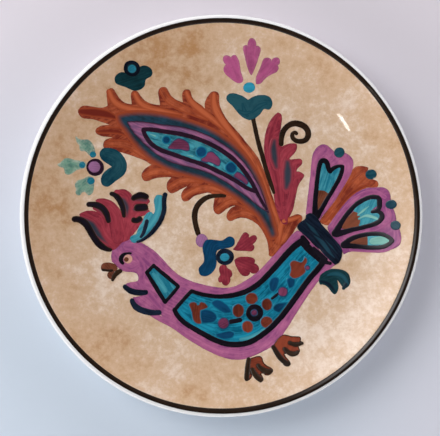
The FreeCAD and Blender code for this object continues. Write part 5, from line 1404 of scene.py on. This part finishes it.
class PLATE_OT_stage(Craft, bpy.types.Operator):
    """Lay the floor, light the plate softly and point the camera straight down"""
    bl_idname = "plate.stage"
    bl_label = "Stage"

    def execute(self, context):
        scene, stage = context.scene, context.scene.stage_sizes
        scene.view_settings.view_transform = "Standard"
        self.floor(stage)
        self.camera(scene, stage)
        self.lights(scene, stage)
        return {"FINISHED"}

    def plane(self, name, half):
        """A square about its own middle, facing up."""
        mesh = bpy.data.meshes.new(name)
        mesh.from_pydata([(-half, -half, 0), (half, -half, 0), (half, half, 0), (-half, half, 0)],
                         [], [(0, 1, 2, 3)])
        thing = bpy.data.objects.new(name, mesh)
        bpy.context.scene.collection.objects.link(thing)
        return thing

    def floor(self, stage):
        """A plain surface that goes from cool to warm: painted tints of a warm light on the far
        side and the right, and of a cool light on the near side.
        """
        floor = self.plane("floor", half=6.0)
        floor.location.z = -0.02 * MM       # a hair below the foot, so the two don't fight
        material, nodes, place = start_material("floor")
        x, y, _ = nodes.parts(place)
        far = nodes.ease(y, -0.08, 0.14)
        warm = far + nodes.ease(x, 0.0, 0.14, 0.0, 0.6) * (1.0 - far)
        tint = nodes.blend(warm, rgba(stage.floor_cool_lit), rgba(stage.floor_warm_lit))
        end_material(nodes, {"Base Color": tint, "Roughness": 0.55})
        floor.data.materials.append(material)

    def camera(self, scene, stage):
        """A camera that looks straight down."""
        lens = bpy.data.cameras.new("camera")
        lens.lens = stage.lens
        lens.sensor_width = 36.0
        lens.clip_start = 0.01
        camera = bpy.data.objects.new("camera", lens)
        camera.location = (stage.camera_x, stage.camera_y, stage.camera_height)
        scene.collection.objects.link(camera)
        scene.camera = camera

    def lights(self, scene, stage):
        """A soft window, a small lamp, and a room that is bright near the horizon."""
        self.window(stage, place=(-1.24, 0.77, 1.30), half=1.16)
        self.lamp(scene, stage, place=(-0.271, -0.205, 0.80), sides=(0.020, 0.044),
                  along=(-0.39, 0.92, 0.0))
        world = bpy.data.worlds.new("room")
        world.use_nodes = True
        nodes = Nodes(world.node_tree)
        x, y, up = nodes.parts(nodes.add("ShaderNodeTexCoord"))
        bright, dull, ceiling = ((0.95, 0.96, 1.0, 1.0), (0.06, 0.06, 0.062, 1.0),
                                 (0.010, 0.010, 0.011, 1.0))
        dim = nodes.ease(x - y * 0.6, -0.3, 1.0, 0.0, 0.37)
        walls = nodes.blend(dim, bright, dull)
        tint = nodes.blend(nodes.ease(up, 0.38, 0.60), walls, ceiling)
        shade = nodes.add("ShaderNodeBackground", None, {"Color": tint, "Strength": stage.fill})
        nodes.add("ShaderNodeOutputWorld", None, {"Surface": shade})
        scene.world = world

    def window(self, stage, place, half):
        """The main light: a wide glow that fades out towards its edges."""
        window = self.plane("window", half)
        window.location = place
        window.visible_camera = False
        window.rotation_euler = (-Vector(place)).to_track_quat("Z", "Y").to_euler()
        material, nodes, spot = start_material("window")
        x, y, _ = nodes.parts(spot)
        glow = nodes.ease(reach_of(x, y), 0.15, half, 1.0, 0.0)
        dark, daylight = (0.0, 0.0, 0.0, 1.0), (0.98, 0.985, 1.0, 1.0)
        end_material(nodes, {
            "Base Color": dark, "Specular IOR Level": 0.0, "Emission Strength": stage.window,
            "Emission Color": nodes.blend(glow, dark, daylight)})
        window.data.materials.append(material)

    def lamp(self, scene, stage, place, sides, along):
        """A small strip lamp aimed at the plate, its long side turned along a given way."""
        light = bpy.data.lights.new("strip", "AREA")
        light.shape = "RECTANGLE"
        light.size, light.size_y = sides
        light.energy = stage.strip
        light.color = (1.0, 0.98, 0.94)
        lamp = bpy.data.objects.new("strip", light)
        back = Vector(place).normalized()
        side = Vector(along).cross(back).normalized()
        lamp.matrix_world = Matrix((side, back.cross(side), back)).transposed().to_4x4()
        lamp.location = place
        scene.collection.objects.link(lamp)


class PLATE_PT_panel(bpy.types.Panel):
    """Lists the plate's steps and what can be changed"""
    bl_idname = "PLATE_PT_panel"
    bl_label = "Hand Painted Plate"
    bl_space_type = "VIEW_3D"
    bl_region_type = "UI"
    bl_category = "Plate"

    def draw(self, context):
        for group in ("plate_sizes", "paint_sizes", "paint_colours", "stage_sizes"):
            box = self.layout.box()
            box.label(text=group.replace("_", " ").capitalize())
            values = getattr(context.scene, group)
            for name in values.__annotations__:
                box.prop(values, name)
        for step in STEPS:
            self.layout.operator(step.bl_idname)


GROUPS = {"plate_sizes": PlateSizes, "paint_sizes": PaintSizes, "paint_colours": PaintColours,
          "stage_sizes": StageSizes}
STEPS = (PLATE_OT_stage, PLATE_OT_blank, PLATE_OT_ground, PLATE_OT_line, PLATE_OT_bird,
         PLATE_OT_belly, PLATE_OT_crest, PLATE_OT_feet, PLATE_OT_tail, PLATE_OT_plume,
         PLATE_OT_leaf, PLATE_OT_flowers)
CLASSES = (*GROUPS.values(), *STEPS, PLATE_PT_panel)


def register():
    for one in CLASSES:
        bpy.utils.register_class(one)
    for name, group in GROUPS.items():
        setattr(bpy.types.Scene, name, PointerProperty(type=group))


def unregister():
    for name in GROUPS:
        delattr(bpy.types.Scene, name)
    for one in reversed(CLASSES):
        bpy.utils.unregister_class(one)


def main():
    register()
    for step in STEPS:
        family, name = step.bl_idname.split(".")
        getattr(getattr(bpy.ops, family), name)()


if __name__ == "__main__":
    main()
